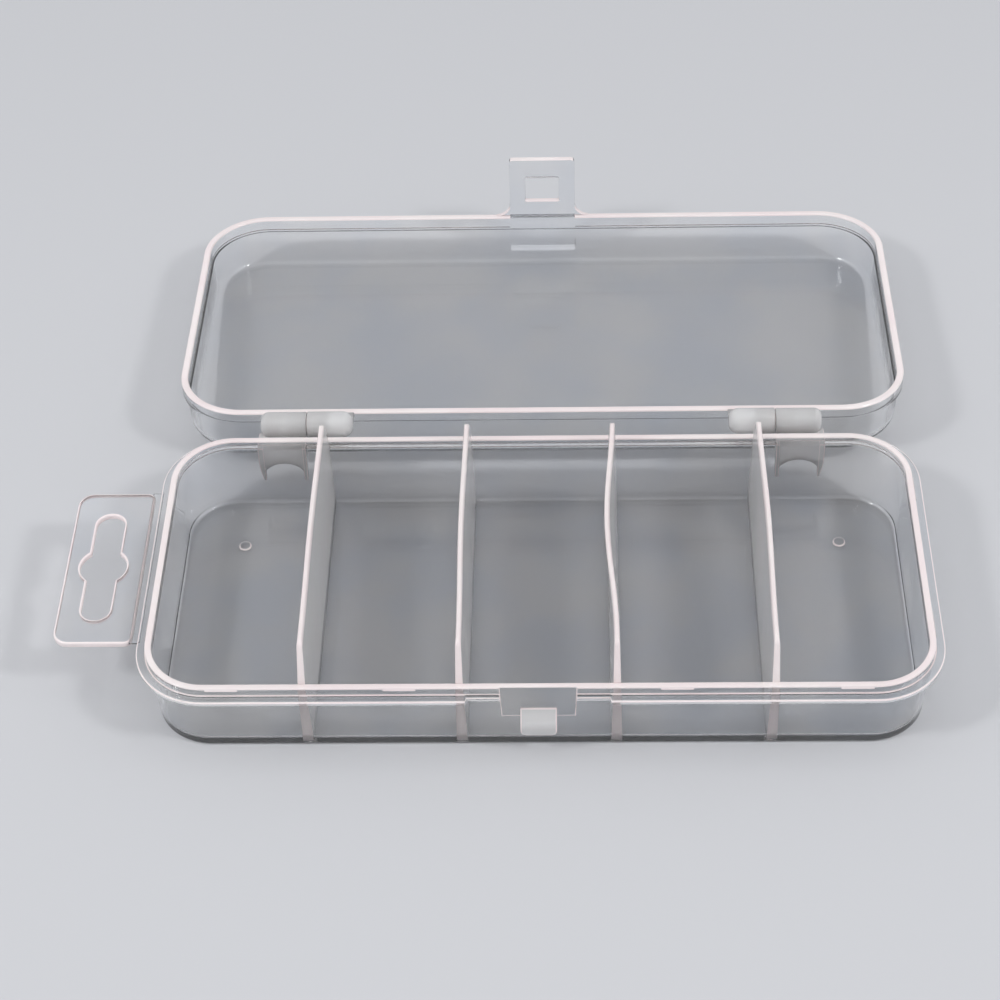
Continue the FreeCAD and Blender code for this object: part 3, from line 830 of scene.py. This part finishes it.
    def build(self) -> None:
        """Build the tray with the two pips on its floor."""
        mould = Mould()
        rings = self.raise_walls(mould, self.front_marks(), self.beads(self.end_beads))
        holes = []
        for side in Side:
            middle = Vector((side.value * self.pip_x, self.pip_y))
            rims = []
            for turn in quarter_turn(self.pip_steps):
                radius = self.pip_radius - self.pip_height * (1 - math.cos(turn))
                up = self.floor + self.pip_height * math.sin(turn)
                rim = circle(middle, radius, self.pip_sides)
                rims.append(mould.ring(in_xy(p, up) for p in reversed(rim)))
            # The pips carry the painted edge glow all over, a painted glint.
            mould.skin(rims, True, False, lambda k, i: True)
            mould.fill(rims[-1:])
            holes.append(rims[0])
        mould.fill([[ring[0] for ring in rings], *holes])
        mould.fill([[ring[-1] for ring in rings]])
        settle(mould.cast("tray", self.finishes), Body.BASE, ["base_tray"])


@dataclass
class CompartmentWalls:
    """The four tapered walls between the compartments."""

    finishes: Finishes
    tray: BaseTray
    places: tuple[float, ...] = (-49.5, -16.5, 16.5, 49.5)
    foot_half: float = 1.2
    top_half: float = 0.6
    top: float = 28.4
    top_end: float = 33.4
    sunk: float = 0.35
    edge: float = 0.35
    top_radius: float = 1.2
    nose_share: float = 0.3
    nose_shrink: float = 0.6
    rows: int = 10
    columns: int = 16
    top_steps: int = 5
    warps: tuple[float, ...] = (-0.25, -0.45, -1.75, 0.45)
    warp_place: float = 3.0

    def end_at(self, up: float) -> float:
        """Give the wall's half length at a height: sunk in the tray below the lip, sloping in above it.

        Args:
            up: The height in mm.

        Returns:
            The half length in mm.
        """
        tray = self.tray
        width = tray.outline.half_width
        lip = tray.lip_top - tray.lip_round
        mouth = width - tray.mouth_inset + self.sunk
        if up <= lip:
            lean = (tray.cavity_inset - tray.mouth_inset) / (tray.lip_top - tray.floor)
            return mouth - lean * (lip - up)
        return mouth + (self.top_end - mouth) * (up - lip) / (self.top - lip)

    def level(self, up: float, inward: float, middle: float, warp: float) -> list[Vector]:
        """Draw the wall's section at a height.

        Args:
            up: The height.
            inward: How far the section is drawn in by the rounding of the top.
            middle: The wall's place along the box.
            warp: How far the top bows from the straight, in mm.

        Returns:
            The closed section, anticlockwise.
        """
        tray = self.tray
        rise = (up - tray.floor) / (self.top - tray.floor)
        half = self.foot_half + (self.top_half - self.foot_half) * max(0.0, rise) - inward * self.edge
        end = self.end_at(up) - inward * self.top_radius
        side = [end * (2 * k / self.columns - 1) for k in range(self.columns + 1)]
        nose = self.edge * (1 - self.nose_shrink * inward)
        cut = nose * self.nose_share
        far = [Vector((half, y)) for y in side[1:-1]]
        far += [Vector((half, end - nose)), Vector((half - cut, end - cut)), Vector((0, end))]
        far += [Vector((cut - half, end - cut)), Vector((-half, end - nose))]
        loop = far + [-p for p in far]
        bow = warp * max(0.0, rise) ** 2
        points = []
        for p in loop:
            share = max(-1.0, min(1.0, (p.y - self.warp_place) / self.top_end))
            points.append(Vector((middle + p.x + bow * math.cos(math.pi * share / 2) ** 2, p.y, up)))
        return points

    def edge_lit(self, k: int, i: int) -> bool:
        """Whether a face gets the painted edge glow: on the wall's rounded top or on one of its two ends."""
        side, nose = self.columns - 1, 4
        return k >= self.rows or 0 <= i - side < nose or 0 <= i - 2 * side - nose - 1 < nose

    def build(self) -> None:
        """Build the walls."""
        low = self.tray.floor - self.sunk
        straight = self.top - self.top_radius - low
        rises = [(low + straight * k / self.rows, 0.0) for k in range(self.rows + 1)]
        for turn in quarter_turn(self.top_steps)[1:]:
            rises.append((self.top - self.top_radius * (1 - math.sin(turn)), 1 - math.cos(turn)))
        for number, (middle, warp) in enumerate(zip(self.places, self.warps), start=1):
            mould = Mould()
            rings = [mould.ring(self.level(up, inward, middle, warp)) for up, inward in rises]
            # The top cap gets the painted edge glow too.
            mould.solid(rings, self.edge_lit, lit_end=True)
            settle(mould.cast(f"compartment_wall_{number}", self.finishes), Body.BASE, [f"divider_{number}"])


@dataclass
class LatchCatch:
    """The ramped block on the front wall that the latch snaps over."""

    finishes: Finishes
    half_length: float = 3.875
    low: float = 6.7
    top: float = 12.8
    front: float = -40.65
    ramp_height: float = 3.0
    ramp_reach: float = 2.5
    back: float = -37.3
    low_radius: float = 1.3
    crease_radius: float = 1.0
    edge: float = 0.3
    low_steps: int = 8
    crease_steps: int = 6

    def build(self) -> None:
        """Build the catch."""
        outline = [Vector(p) for p in (
            (self.front, self.low), (self.back, self.low), (self.back, self.top),
            (self.front + self.ramp_reach, self.top), (self.front, self.top - self.ramp_height))]
        mould = Mould()
        mould.prism(outline, in_yz, -self.half_length, self.half_length)
        mould.tidy()

        def low_side(edge: bmesh.types.BMEdge) -> bool:
            """Whether an edge is one of the two low ones that run to the back."""
            a, b = (v.co / MM for v in edge.verts)
            return max(a.z, b.z) < self.low + NEAR and abs(a.x - b.x) < NEAR

        def crease(edge: bmesh.types.BMEdge) -> bool:
            """Whether an edge is the one between the ramp and the front."""
            place = Vector((self.front, self.top - self.ramp_height))
            return all((v.co.yz / MM - place).length < NEAR for v in edge.verts)

        mould.soften(self.low_radius, low_side, self.low_steps)
        mould.soften(self.crease_radius, crease, self.crease_steps)
        # The rounded edges carry the painted edge glow.
        mould.soften(self.edge, sharp, lit=True)
        settle(mould.cast("catch", self.finishes), Body.BASE, ["latch_catch"])


@dataclass(frozen=True)
class HingeLine:
    """The line along the box that the lid turns about.

    Attributes:
        y: Its place to the back, in mm.
        z: Its height in mm.
        opened: The turn from the shut lid to the open one at rest.
        sides: The number of sides of a turned form.
        hub: The radius that the ends of a bar are filled from, in mm.
    """

    y: float
    z: float
    opened: Matrix
    sides: int = 48
    hub: float = 0.5

    @classmethod
    def from_frame(cls) -> "HingeLine":
        """Read the line and the lid's turn from the frame.

        Returns:
            The hinge line.
        """
        joint = next(joint for joint in frame["joints"] if joint["name"] == "lid_hinge")
        _, y, z = joint["pos_m"]
        hinge = Matrix.Translation(Vector(joint["pos_m"]))
        turn = Matrix.Rotation(-math.radians(joint["range_deg"][1]), 4, Vector(joint["axis"]))
        return cls(y / MM, z / MM, hinge @ turn @ hinge.inverted())

    def turned(self, line: Loop, lit: bool = False) -> Mould:
        """Turn a line of places along the box and radii about the hinge line.

        Args:
            line: The line from end to end.
            lit: Whether the turned face gets the painted edge glow.

        Returns:
            The turned form.
        """
        mould = Mould()
        middle = Vector((self.y, self.z))
        rings = []
        for along, radius in line:
            rings.append(mould.ring(in_yz(p, along) for p in circle(middle, radius, self.sides)))
        mould.solid(rings, lambda k, i: lit)
        return mould

    def bar(self, start: float, end: float, radius: float, rounds: tuple[float, float],
            lit: bool = False) -> Mould:
        """Turn a bar with rounded ends about the hinge line.

        Args:
            start: Where it starts along the box, in mm.
            end: Where it ends.
            radius: Its radius.
            rounds: The radii that round its start and its end.
            lit: Whether it gets the painted edge glow.

        Returns:
            The bar.
        """
        return self.turned(round_corners([
            Corner(start, self.hub), Corner(start, radius, rounds[0]),
            Corner(end, radius, rounds[1]), Corner(end, self.hub)], closed=False), lit)


def cast_pair(kind: str, body: Body, make: Callable[[], Mould], finishes: Finishes,
              turn: Matrix | None = None) -> None:
    """Cast a hinge piece for the right end of the box and its mirror image for the left end.

    Args:
        kind: What the pieces are called.
        body: The body that they move with.
        make: Makes the right one.
        finishes: What they are made of.
        turn: Moves them to their place, if they aren't drawn there.
    """
    for side in Side:
        mould = make()
        mirror = Matrix.Scale(side.value, 4, Vector((1, 0, 0)))
        bmesh.ops.transform(mould.mesh, matrix=mirror, verts=mould.mesh.verts[:])
        name = f"{kind}_{side.name.lower()}"
        settle(mould.cast(name, finishes, turn), body, [f"hinge_{name}"])


@dataclass
class HingeClips:
    """The base's side of the two hinges: a hollow barrel with a stub pin, on two cheeks and an arched web."""

    finishes: Finishes
    tray: BaseTray
    line: HingeLine
    start: float = 54.4
    end: float = 65.6
    barrel_end: float = 65.1
    barrel_radius: float = 2.95
    core_radius: float = 2.15
    cap: float = 1.3
    cap_round: float = 1.8
    mouth_start: float = 10.0
    mouth_end: float = 270.0
    neck_y: float = 43.23
    neck_z: float = 15.8
    inner_cheek: float = 0.9
    outer_cheek: float = 1.4
    cheek_foot: float = 7.0
    cheek_toe: float = 0.7
    cheek_lean: float = 0.9
    cheek_bend: float = 6.0
    web_foot: float = 9.8
    web_toe: float = 0.3
    arch_rise: float = 2.3
    pin_end: float = 52.1
    pin_radius: float = 2.1
    pin_round: float = 1.3
    sunk: float = 0.08
    overlap: float = 0.1
    cut_reach: float = 10.0
    edge: float = 0.2
    levels: int = 10
    arch_sides: int = 72

    def barrel(self) -> Mould:
        """Make the barrel, hollow and open down and back between its two closed ends.

        Returns:
            The barrel.
        """
        barrel = self.line.bar(self.start, self.barrel_end, self.barrel_radius, (self.edge, self.cap_round))
        middle = Vector((self.line.y, self.line.z))
        hollow = arc(middle, self.core_radius, self.mouth_start, self.mouth_end)
        hollow += arc(middle, self.barrel_radius + self.cut_reach, self.mouth_end, self.mouth_start + 360)
        core = Mould()
        core.prism(hollow, in_yz, self.start + self.inner_cheek, self.barrel_end - self.cap)
        barrel.work_in(core, Joining.CUT)
        return barrel

    def upright(self, foot: float, toe: float, sides: Callable[[float], tuple[float, float]]) -> Mould:
        """Make a web or a cheek between the tray's wall and the barrel.

        Args:
            foot: The height of its foot.
            toe: How far its foot stands out from the wall.
            sides: Gives its two sides along the box at a height.

        Returns:
            The web or cheek.
        """
        mould = Mould()
        top = self.tray.ledge_low + self.sunk
        rings = []
        for k in range(self.levels + 1):
            up = foot + (top - foot) * k / self.levels
            wall = self.tray.outline.half_width - self.tray.wall_inset(up)
            back = wall + toe + (self.neck_y - wall - toe) * min(1.0, (up - foot) / (self.neck_z - foot))
            left, right = sides(up)
            front = wall - self.sunk
            rings.append(mould.ring(Vector((x, y, up)) for x, y in (
                (left, front), (right, front), (right, back), (left, back))))
        mould.solid(rings)
        mould.tidy()
        return mould

    def outer_side(self, up: float) -> float:
        """Give the place of the outer cheek's outside, which bends in towards its foot."""
        share = max(0.0, 1 - (up - self.cheek_foot) / self.cheek_bend)
        return self.end - self.cheek_lean * share ** 2

    def clip(self) -> Mould:
        """Make a clip: barrel, web with its arch and the two cheeks.

        Returns:
            The clip.
        """
        left, right = self.start + self.inner_cheek, self.end - self.outer_cheek
        over = self.overlap
        web = self.upright(self.web_foot, self.web_toe, lambda up: (left - over, right + over))
        half = (right - left) / 2
        radius = (half ** 2 + self.arch_rise ** 2) / (2 * self.arch_rise)
        arch = Mould()
        middle = Vector((left + half, self.web_foot + self.arch_rise - radius))
        near, far = self.line.y - self.cut_reach, self.line.y + self.cut_reach
        # The arch's cut faces and the cheeks' roundings carry the painted edge glow.
        arch.prism(circle(middle, radius, self.arch_sides), in_xz, near, far, lit=True)
        web.work_in(arch, Joining.CUT)
        for sides in (lambda up: (self.start, left), lambda up: (right, self.outer_side(up))):
            cheek = self.upright(self.cheek_foot, self.cheek_toe, sides)
            cheek.soften(self.edge, sharp, lit=True)
            web.work_in(cheek, Joining.ADD)
        clip = self.barrel()
        clip.work_in(web, Joining.ADD)
        return clip

    def pin(self) -> Mould:
        """Make a stub pin with a round nose."""
        root = self.start + self.sunk
        # The whole pin carries the painted edge glow.
        return self.line.bar(root, self.pin_end, self.pin_radius, (0.0, self.pin_round), lit=True)

    def build(self) -> None:
        """Build both clips and pins."""
        cast_pair("clip", Body.BASE, self.clip, self.finishes)
        cast_pair("pin", Body.BASE, self.pin, self.finishes)


@dataclass
class HangTab:
    """The plate with the hang slot at the box's left end, on the thin web that it folds on."""

    finishes: Finishes
    outer: float = -104.7
    inner: float = -87.3
    half_length: float = 22.9
    low: float = 15.4
    top: float = 16.9
    outer_radius: float = 3.5
    inner_radius: float = 1.8
    edge: float = 0.45
    slot_x: float = -96.4
    slot_half: float = 16.0
    slot_radius: float = 3.15
    bump_radius: float = 5.15
    web_low: float = 16.4
    web_reach: float = -85.5
    web_overlap: float = 0.6
    web_edge: float = 0.2
    web_drop: float = 0.02
    web_steps: int = 8

    def slot(self) -> Loop:
        """Draw the hang slot with its round bump, clockwise.

        Returns:
            The slot's outline.
        """
        meet = math.degrees(math.acos(self.slot_radius / self.bump_radius))
        straight = self.slot_half - self.slot_radius
        middle = Vector((self.slot_x, 0))
        rise = Vector((0, straight))
        loop = arc(middle, self.bump_radius, -meet, meet)
        loop += arc(middle + rise, self.slot_radius, 0, 180)
        loop += arc(middle, self.bump_radius, 180 - meet, 180 + meet)
        loop += arc(middle - rise, self.slot_radius, 180, 360)
        return loop[::-1]

    def build(self) -> None:
        """Build the tab and the web between the base and the tab."""
        outline = rounded_rectangle(
            (self.outer, -self.half_length), (self.inner, self.half_length),
            (self.outer_radius, self.inner_radius, self.inner_radius, self.outer_radius))
        half = (self.top - self.low) / 2
        mould = Mould()
        # The plate's rounded edges carry the painted edge glow all round.
        mould.plate([outline, self.slot()], half, self.edge, lambda p, rise: in_xy(p, self.low + half + rise))
        web = rounded_rectangle(
            (-self.half_length, self.web_low), (self.half_length, self.top - self.web_drop),
            [self.web_edge] * 4)
        start, end = self.inner - self.web_overlap, self.web_reach
        places = [start + (end - start) * k / self.web_steps for k in range(self.web_steps + 1)]
        mould.solid([mould.ring(in_yz(p, x) for p in web) for x in places])
        piece = mould.cast("hanger", self.finishes)
        stand_for(piece, ["hang_tab"])
        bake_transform(piece)


@dataclass
class LidShell(WalledShell):
    """The lid: panel, leaning walls, stepped skirt and latch plate, drawn shut and then laid open."""

    line: HingeLine
    rim: float = 17.65
    step: float = 21.15
    top: float = 31.45
    panel: float = 1.2
    skirt_inset: float = 1.7
    wall_inset: float = 0.8
    wall: float = 1.3
    lean: float = 0.6
    top_radius: float = 3.0
    inside_radius: float = 1.8
    rim_round: float = 0.45
    step_round: float = 0.35
    nook_round: float = 0.25
    inner_nook_round: float = 0.15
    flat_run: float = 4.2
    plate_half: float = 8.3
    plate_top: float = 27.65
    plate_reach: float = 0.5
    plate_soft: float = 0.2

    def outer_inset(self, up: float) -> float:
        """Give the inset of the leaning outer wall at a height over the step."""
        return self.wall_inset + self.lean * (up - self.step) / (self.top - self.step)

    def profile(self) -> Loop:
        """Draw the wall's section as inset and height.

        Returns:
            The section's points, from the panel inside to the panel outside.
        """
        inner = self.wall_inset + self.wall
        return round_corners([
            Corner(inner + self.lean + self.flat_run, self.top - self.panel),
            Corner(inner + self.lean, self.top - self.panel, self.inside_radius),
            Corner(inner, self.step, self.inner_nook_round),
            Corner(self.skirt_inset, self.step, self.inner_nook_round),
            Corner(self.skirt_inset, self.rim, self.rim_round),
            Corner(0.0, self.rim, self.rim_round),
            Corner(0.0, self.step, self.step_round),
            Corner(self.wall_inset, self.step, self.nook_round),
            Corner(self.outer_inset(self.plate_top - self.plate_soft), self.plate_top - self.plate_soft),
            Corner(self.outer_inset(self.plate_top + self.plate_soft), self.plate_top + self.plate_soft),
            Corner(self.wall_inset + self.lean, self.top, self.top_radius),
            Corner(inner + self.lean + self.flat_run, self.top)], closed=False, step=12.0)

    def latch_stretch(self) -> range:
        """Find the points of the section that the latch plate takes over, from over the rim's rounding."""
        low = self.rim + self.rim_round - NEAR
        return self.stretch(lambda p: p.x < NEAR and p.y > low, self.plate_top - self.plate_soft)

    def section(self, station: Station) -> list[Vector]:
        """Draw the wall's section at a station.

        Args:
            station: The place on the outline.

        Returns:
            The section's points in the box.
        """
        if not station.mark.pad:
            return [station.point(p.x, p.y) for p in self.plain]
        first, last = self.changed[0], self.changed[-1]
        low, high = self.plain[first].y, self.plain[last].y
        points = []
        for i, (inset, up) in enumerate(self.plain):
            if first <= i <= last:
                inset, up = -self.plate_reach, low + (high - low) * (i - first) / (last - first)
            elif i < first and up < low and inset < self.skirt_inset:
                inset -= self.plate_reach * (1 - inset / self.skirt_inset)
            points.append(station.point(inset, up))
        return points

    def edge_lit(self, i: int, before: WallMark, after: WallMark) -> bool:
        """Tell where the glow is painted: on the rim, but not where the latch plate runs over it."""
        up = (self.plain[i].y + self.plain[i + 1].y) / 2
        return before.pad + after.pad < 2 and up < self.rim + self.rim_round

    def build(self) -> None:
        """Build the lid's shell with its latch plate."""
        mould = Mould()
        plate = [WallMark(self.plate_half + self.plate_soft), WallMark(self.plate_half, pad=1.0)]
        rings = self.raise_walls(mould, both_sides(plate))
        mould.fill([[ring[0] for ring in rings]])
        mould.fill([[ring[-1] for ring in rings]])
        settle(mould.cast("lid", self.finishes, self.line.opened), Body.LID, ["lid_shell", "latch_plate"])


@dataclass
class HingeEars:
    """The lid's side of the two hinges: rounded ears on the skirt, each with a blind socket for a pin."""

    finishes: Finishes
    line: HingeLine
    start: float = 43.6
    end: float = 54.2
    radius: float = 3.0
    end_round: float = 2.3
    socket_radius: float = 2.15
    socket_end: float = 49.6
    neck_back: float = 40.42
    neck_low: float = 17.65
    neck_top: float = 21.15
    cut_over: float = 1.0
    edge: float = 0.2

    def ear(self) -> Mould:
        """Make an ear with its neck and socket.

        Returns:
            The ear.
        """
        ear = self.line.bar(self.start, self.end, self.radius, (self.end_round, self.edge))
        neck = Mould()
        neck.prism(rounded_rectangle(
            (self.start, self.neck_low), (self.end, self.neck_top),
            (self.edge, self.edge, self.edge, self.end_round)), in_xz, self.neck_back, self.line.y)
        ear.work_in(neck, Joining.ADD)
        along = (self.end + self.cut_over, self.end, self.socket_end)
        socket = self.line.turned([Vector((x, self.socket_radius)) for x in along])
        ear.work_in(socket, Joining.CUT)
        return ear

    def build(self) -> None:
        """Build both ears."""
        cast_pair("ear", Body.LID, self.ear, self.finishes, self.line.opened)


@dataclass
class WindowLatch:
    """The latch: a tab below the lid's rim, flared at its root, with a square window."""

    finishes: Finishes
    line: HingeLine
    outside: float = -41.0
    thickness: float = 1.4
    half_width: float = 8.3
    rim: float = 17.65
    end: float = 0.7
    end_radius: float = 0.9
    flare: float = 3.5
    flare_radius: float = 3.3
    shoulder: float = 17.6
    sunk: float = 0.5
    root_share: float = 0.94
    rim_outside: float = -40.5
    window_half: float = 4.275
    window_low: float = 6.3
    window_top: float = 13.2
    window_radius: float = 0.4
    edge: float = 0.25
    bend: float = 2.6
    glow_start: float = 0.1

    def place(self, point: Vector, rise: float) -> Vector:
        """Place a point of the tab, whose outside runs back over the flares and whose root is in the rim.

        Args:
            point: The point in the tab's front view.
            rise: Its place over the middle of the tab's thickness.

        Returns:
            The point in the shut box.
        """
        middle = self.outside + self.thickness / 2
        if point.y > self.rim:
            rise *= self.root_share
        share = min(1.0, max(0.0, (abs(point.x) - self.half_width) / self.flare))
        back = (self.rim_outside - self.outside) * share * share * (3 - 2 * share)
        return in_xz(point, middle + rise + back * (0.5 - rise / self.thickness))

    def edge_lit(self, point: Vector) -> bool:
        """Tell where the glow is painted: on the flares, at the tab's end and at the window's edge near the
        root.

        Args:
            point: A point of an outline.

        Returns:
            Whether the edge gets the painted glow there.
        """
        on_flare = abs(point.x) > self.half_width + self.glow_start
        on_edge = abs(point.y - self.window_top) < self.edge or point.y < self.end + self.edge
        return on_flare or (abs(point.x) < self.half_width - self.edge and on_edge)

    def build(self) -> None:
        """Build the tab, with its root sunk into the rim."""
        half, wide, root = self.half_width, self.half_width + self.flare, self.rim + self.sunk
        right = [
            Corner(half, self.end, self.end_radius), Corner(half, self.shoulder, self.flare_radius),
            Corner(wide, self.shoulder), Corner(wide, root)]
        left = [replace(corner, across=-corner.across) for corner in reversed(right)]
        window = rounded_rectangle(
            (-self.window_half, self.window_low), (self.window_half, self.window_top),
            [self.window_radius] * 4)
        outlines = [round_corners(right + left, closed=True), window[::-1]]
        mould = Mould()
        mould.plate(outlines, self.thickness / 2, self.edge, self.place, self.edge_lit)
        opened = self.line.opened
        piece = mould.cast("latch", self.finishes, opened)
        stand_for(piece, ["latch_tab"])
        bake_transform(piece)


@dataclass(frozen=True)
class SoftBox:
    """A soft lamp.

    Attributes:
        name: Its name.
        place: Where it hangs, in metres.
        size: Its width in metres.
        power: Its power in watts.
    """

    name: str
    place: tuple[float, float, float]
    size: float
    power: float

    def hang(self, target: Vector) -> None:
        """Hang the lamp so that it faces a point.

        Args:
            target: The point in metres.
        """
        light = bpy.data.lights.new(self.name, "AREA")
        light.size = self.size
        light.energy = self.power
        lamp = bpy.data.objects.new(self.name, light)
        lamp.location = self.place
        lamp.rotation_euler = (target - Vector(self.place)).to_track_quat("-Z", "Y").to_euler()
        bpy.context.scene.collection.objects.link(lamp)


@dataclass(frozen=True)
class Studio:
    """A pale floor under soft lamps, and the camera at the photograph's angle."""

    floor_colour: str = "#c6c7ca"
    sky_colour: str = "#c9cacd"
    sky_strength: float = 1.0
    floor_size: float = 12.0
    floor_sides: int = 64
    floor_roughness: float = 0.7
    floor_gloss: float = 0.2
    floor_drop: float = 0.1
    lamps: tuple[SoftBox, ...] = (
        SoftBox("soft_lamp_top", (0.0, -0.15, 1.3), 1.2, 2.8),
        SoftBox("soft_lamp_left", (-1.1, -0.15, 1.0), 0.8, 1.6),
        SoftBox("soft_lamp_right", (1.1, -0.15, 1.0), 0.8, 1.6),
        SoftBox("small_lamp_left", (-0.7, -0.35, 0.85), 0.15, 2.8),
        SoftBox("small_lamp_right", (0.7, -0.35, 0.85), 0.15, 2.8))
    lamp_target: tuple[float, float, float] = (0.0, 0.04, 0.0)
    camera_place: tuple[float, float, float] = (8.518, -372.117, 404.275)
    camera_pitch: float = 44.628
    camera_heading: float = 2.558
    camera_roll: float = 2.219
    camera_lens: float = 87.92

    def build_floor(self) -> None:
        """Lay the floor just under the box and light the air round it."""
        mesh = bmesh.new()
        bmesh.ops.create_circle(mesh, cap_ends=True, segments=self.floor_sides, radius=self.floor_size / 2)
        data = bpy.data.meshes.new("floor")
        mesh.to_mesh(data)
        mesh.free()
        made = bpy.data.materials.new("matt_painted_floor")
        made.use_nodes = True
        paint = made.node_tree.nodes["Principled BSDF"]
        paint.inputs["Base Color"].default_value = linear_colour(self.floor_colour)
        paint.inputs["Roughness"].default_value = self.floor_roughness
        paint.inputs["Specular IOR Level"].default_value = self.floor_gloss
        data.materials.append(made)
        floor = bpy.data.objects.new("floor", data)
        floor.location.z = -self.floor_drop * MM
        bpy.context.scene.collection.objects.link(floor)
        world = bpy.data.worlds.new("studio")
        world.use_nodes = True
        sky = world.node_tree.nodes["Background"]
        sky.inputs["Color"].default_value = linear_colour(self.sky_colour)
        sky.inputs["Strength"].default_value = self.sky_strength
        bpy.context.scene.world = world

    def build_camera(self) -> None:
        """Stand the camera where the photograph was taken."""
        pitch, heading, roll = (math.radians(a) for a in (
            self.camera_pitch, self.camera_heading, self.camera_roll))
        forward = Vector((
            -math.sin(heading) * math.cos(pitch), math.cos(heading) * math.cos(pitch), -math.sin(pitch)))
        level = Vector((math.cos(heading), math.sin(heading), 0))
        down = forward.cross(level)
        right = level * math.cos(roll) + down * math.sin(roll)
        up = level * math.sin(roll) - down * math.cos(roll)
        lens = bpy.data.cameras.new("camera")
        lens.lens = self.camera_lens
        camera = bpy.data.objects.new("camera", lens)
        turn = Matrix((right, up, -forward)).transposed().to_4x4()
        camera.matrix_world = Matrix.Translation(Vector(self.camera_place) * MM) @ turn
        bpy.context.scene.collection.objects.link(camera)
        bpy.context.scene.camera = camera

    def build(self) -> None:
        """Set up floor, lamps and camera."""
        self.build_floor()
        for lamp in self.lamps:
            lamp.hang(Vector(self.lamp_target))
        self.build_camera()
        bpy.context.scene.view_settings.view_transform = "Standard"


def main() -> None:
    """Build the studio and the box, sub-assembly by sub-assembly."""
    logging.basicConfig(level=logging.INFO, format="%(name)s: %(message)s")
    # The second finish of each pair is the painted edge glow.
    edge = PAINTED_EDGE_GLOW.material()
    clear, milky = (CLEAR_WALL.material(), edge), (MILKY_WALL.material(), edge)
    outline = LedgeOutline(BoxSizes.HALF_LENGTH.value, BoxSizes.HALF_WIDTH.value)
    line = HingeLine.from_frame()
    Studio().build()
    tray = BaseTray(clear, outline, BoxSizes.LIP_TOP.value)
    tray.build()
    CompartmentWalls(milky, tray).build()
    LatchCatch(milky).build()
    HingeClips(milky, tray, line).build()
    HangTab(clear).build()
    LidShell(clear, outline, line).build()
    HingeEars(milky, line).build()
    WindowLatch(clear, line).build()


if __name__ == "__main__":
    main()
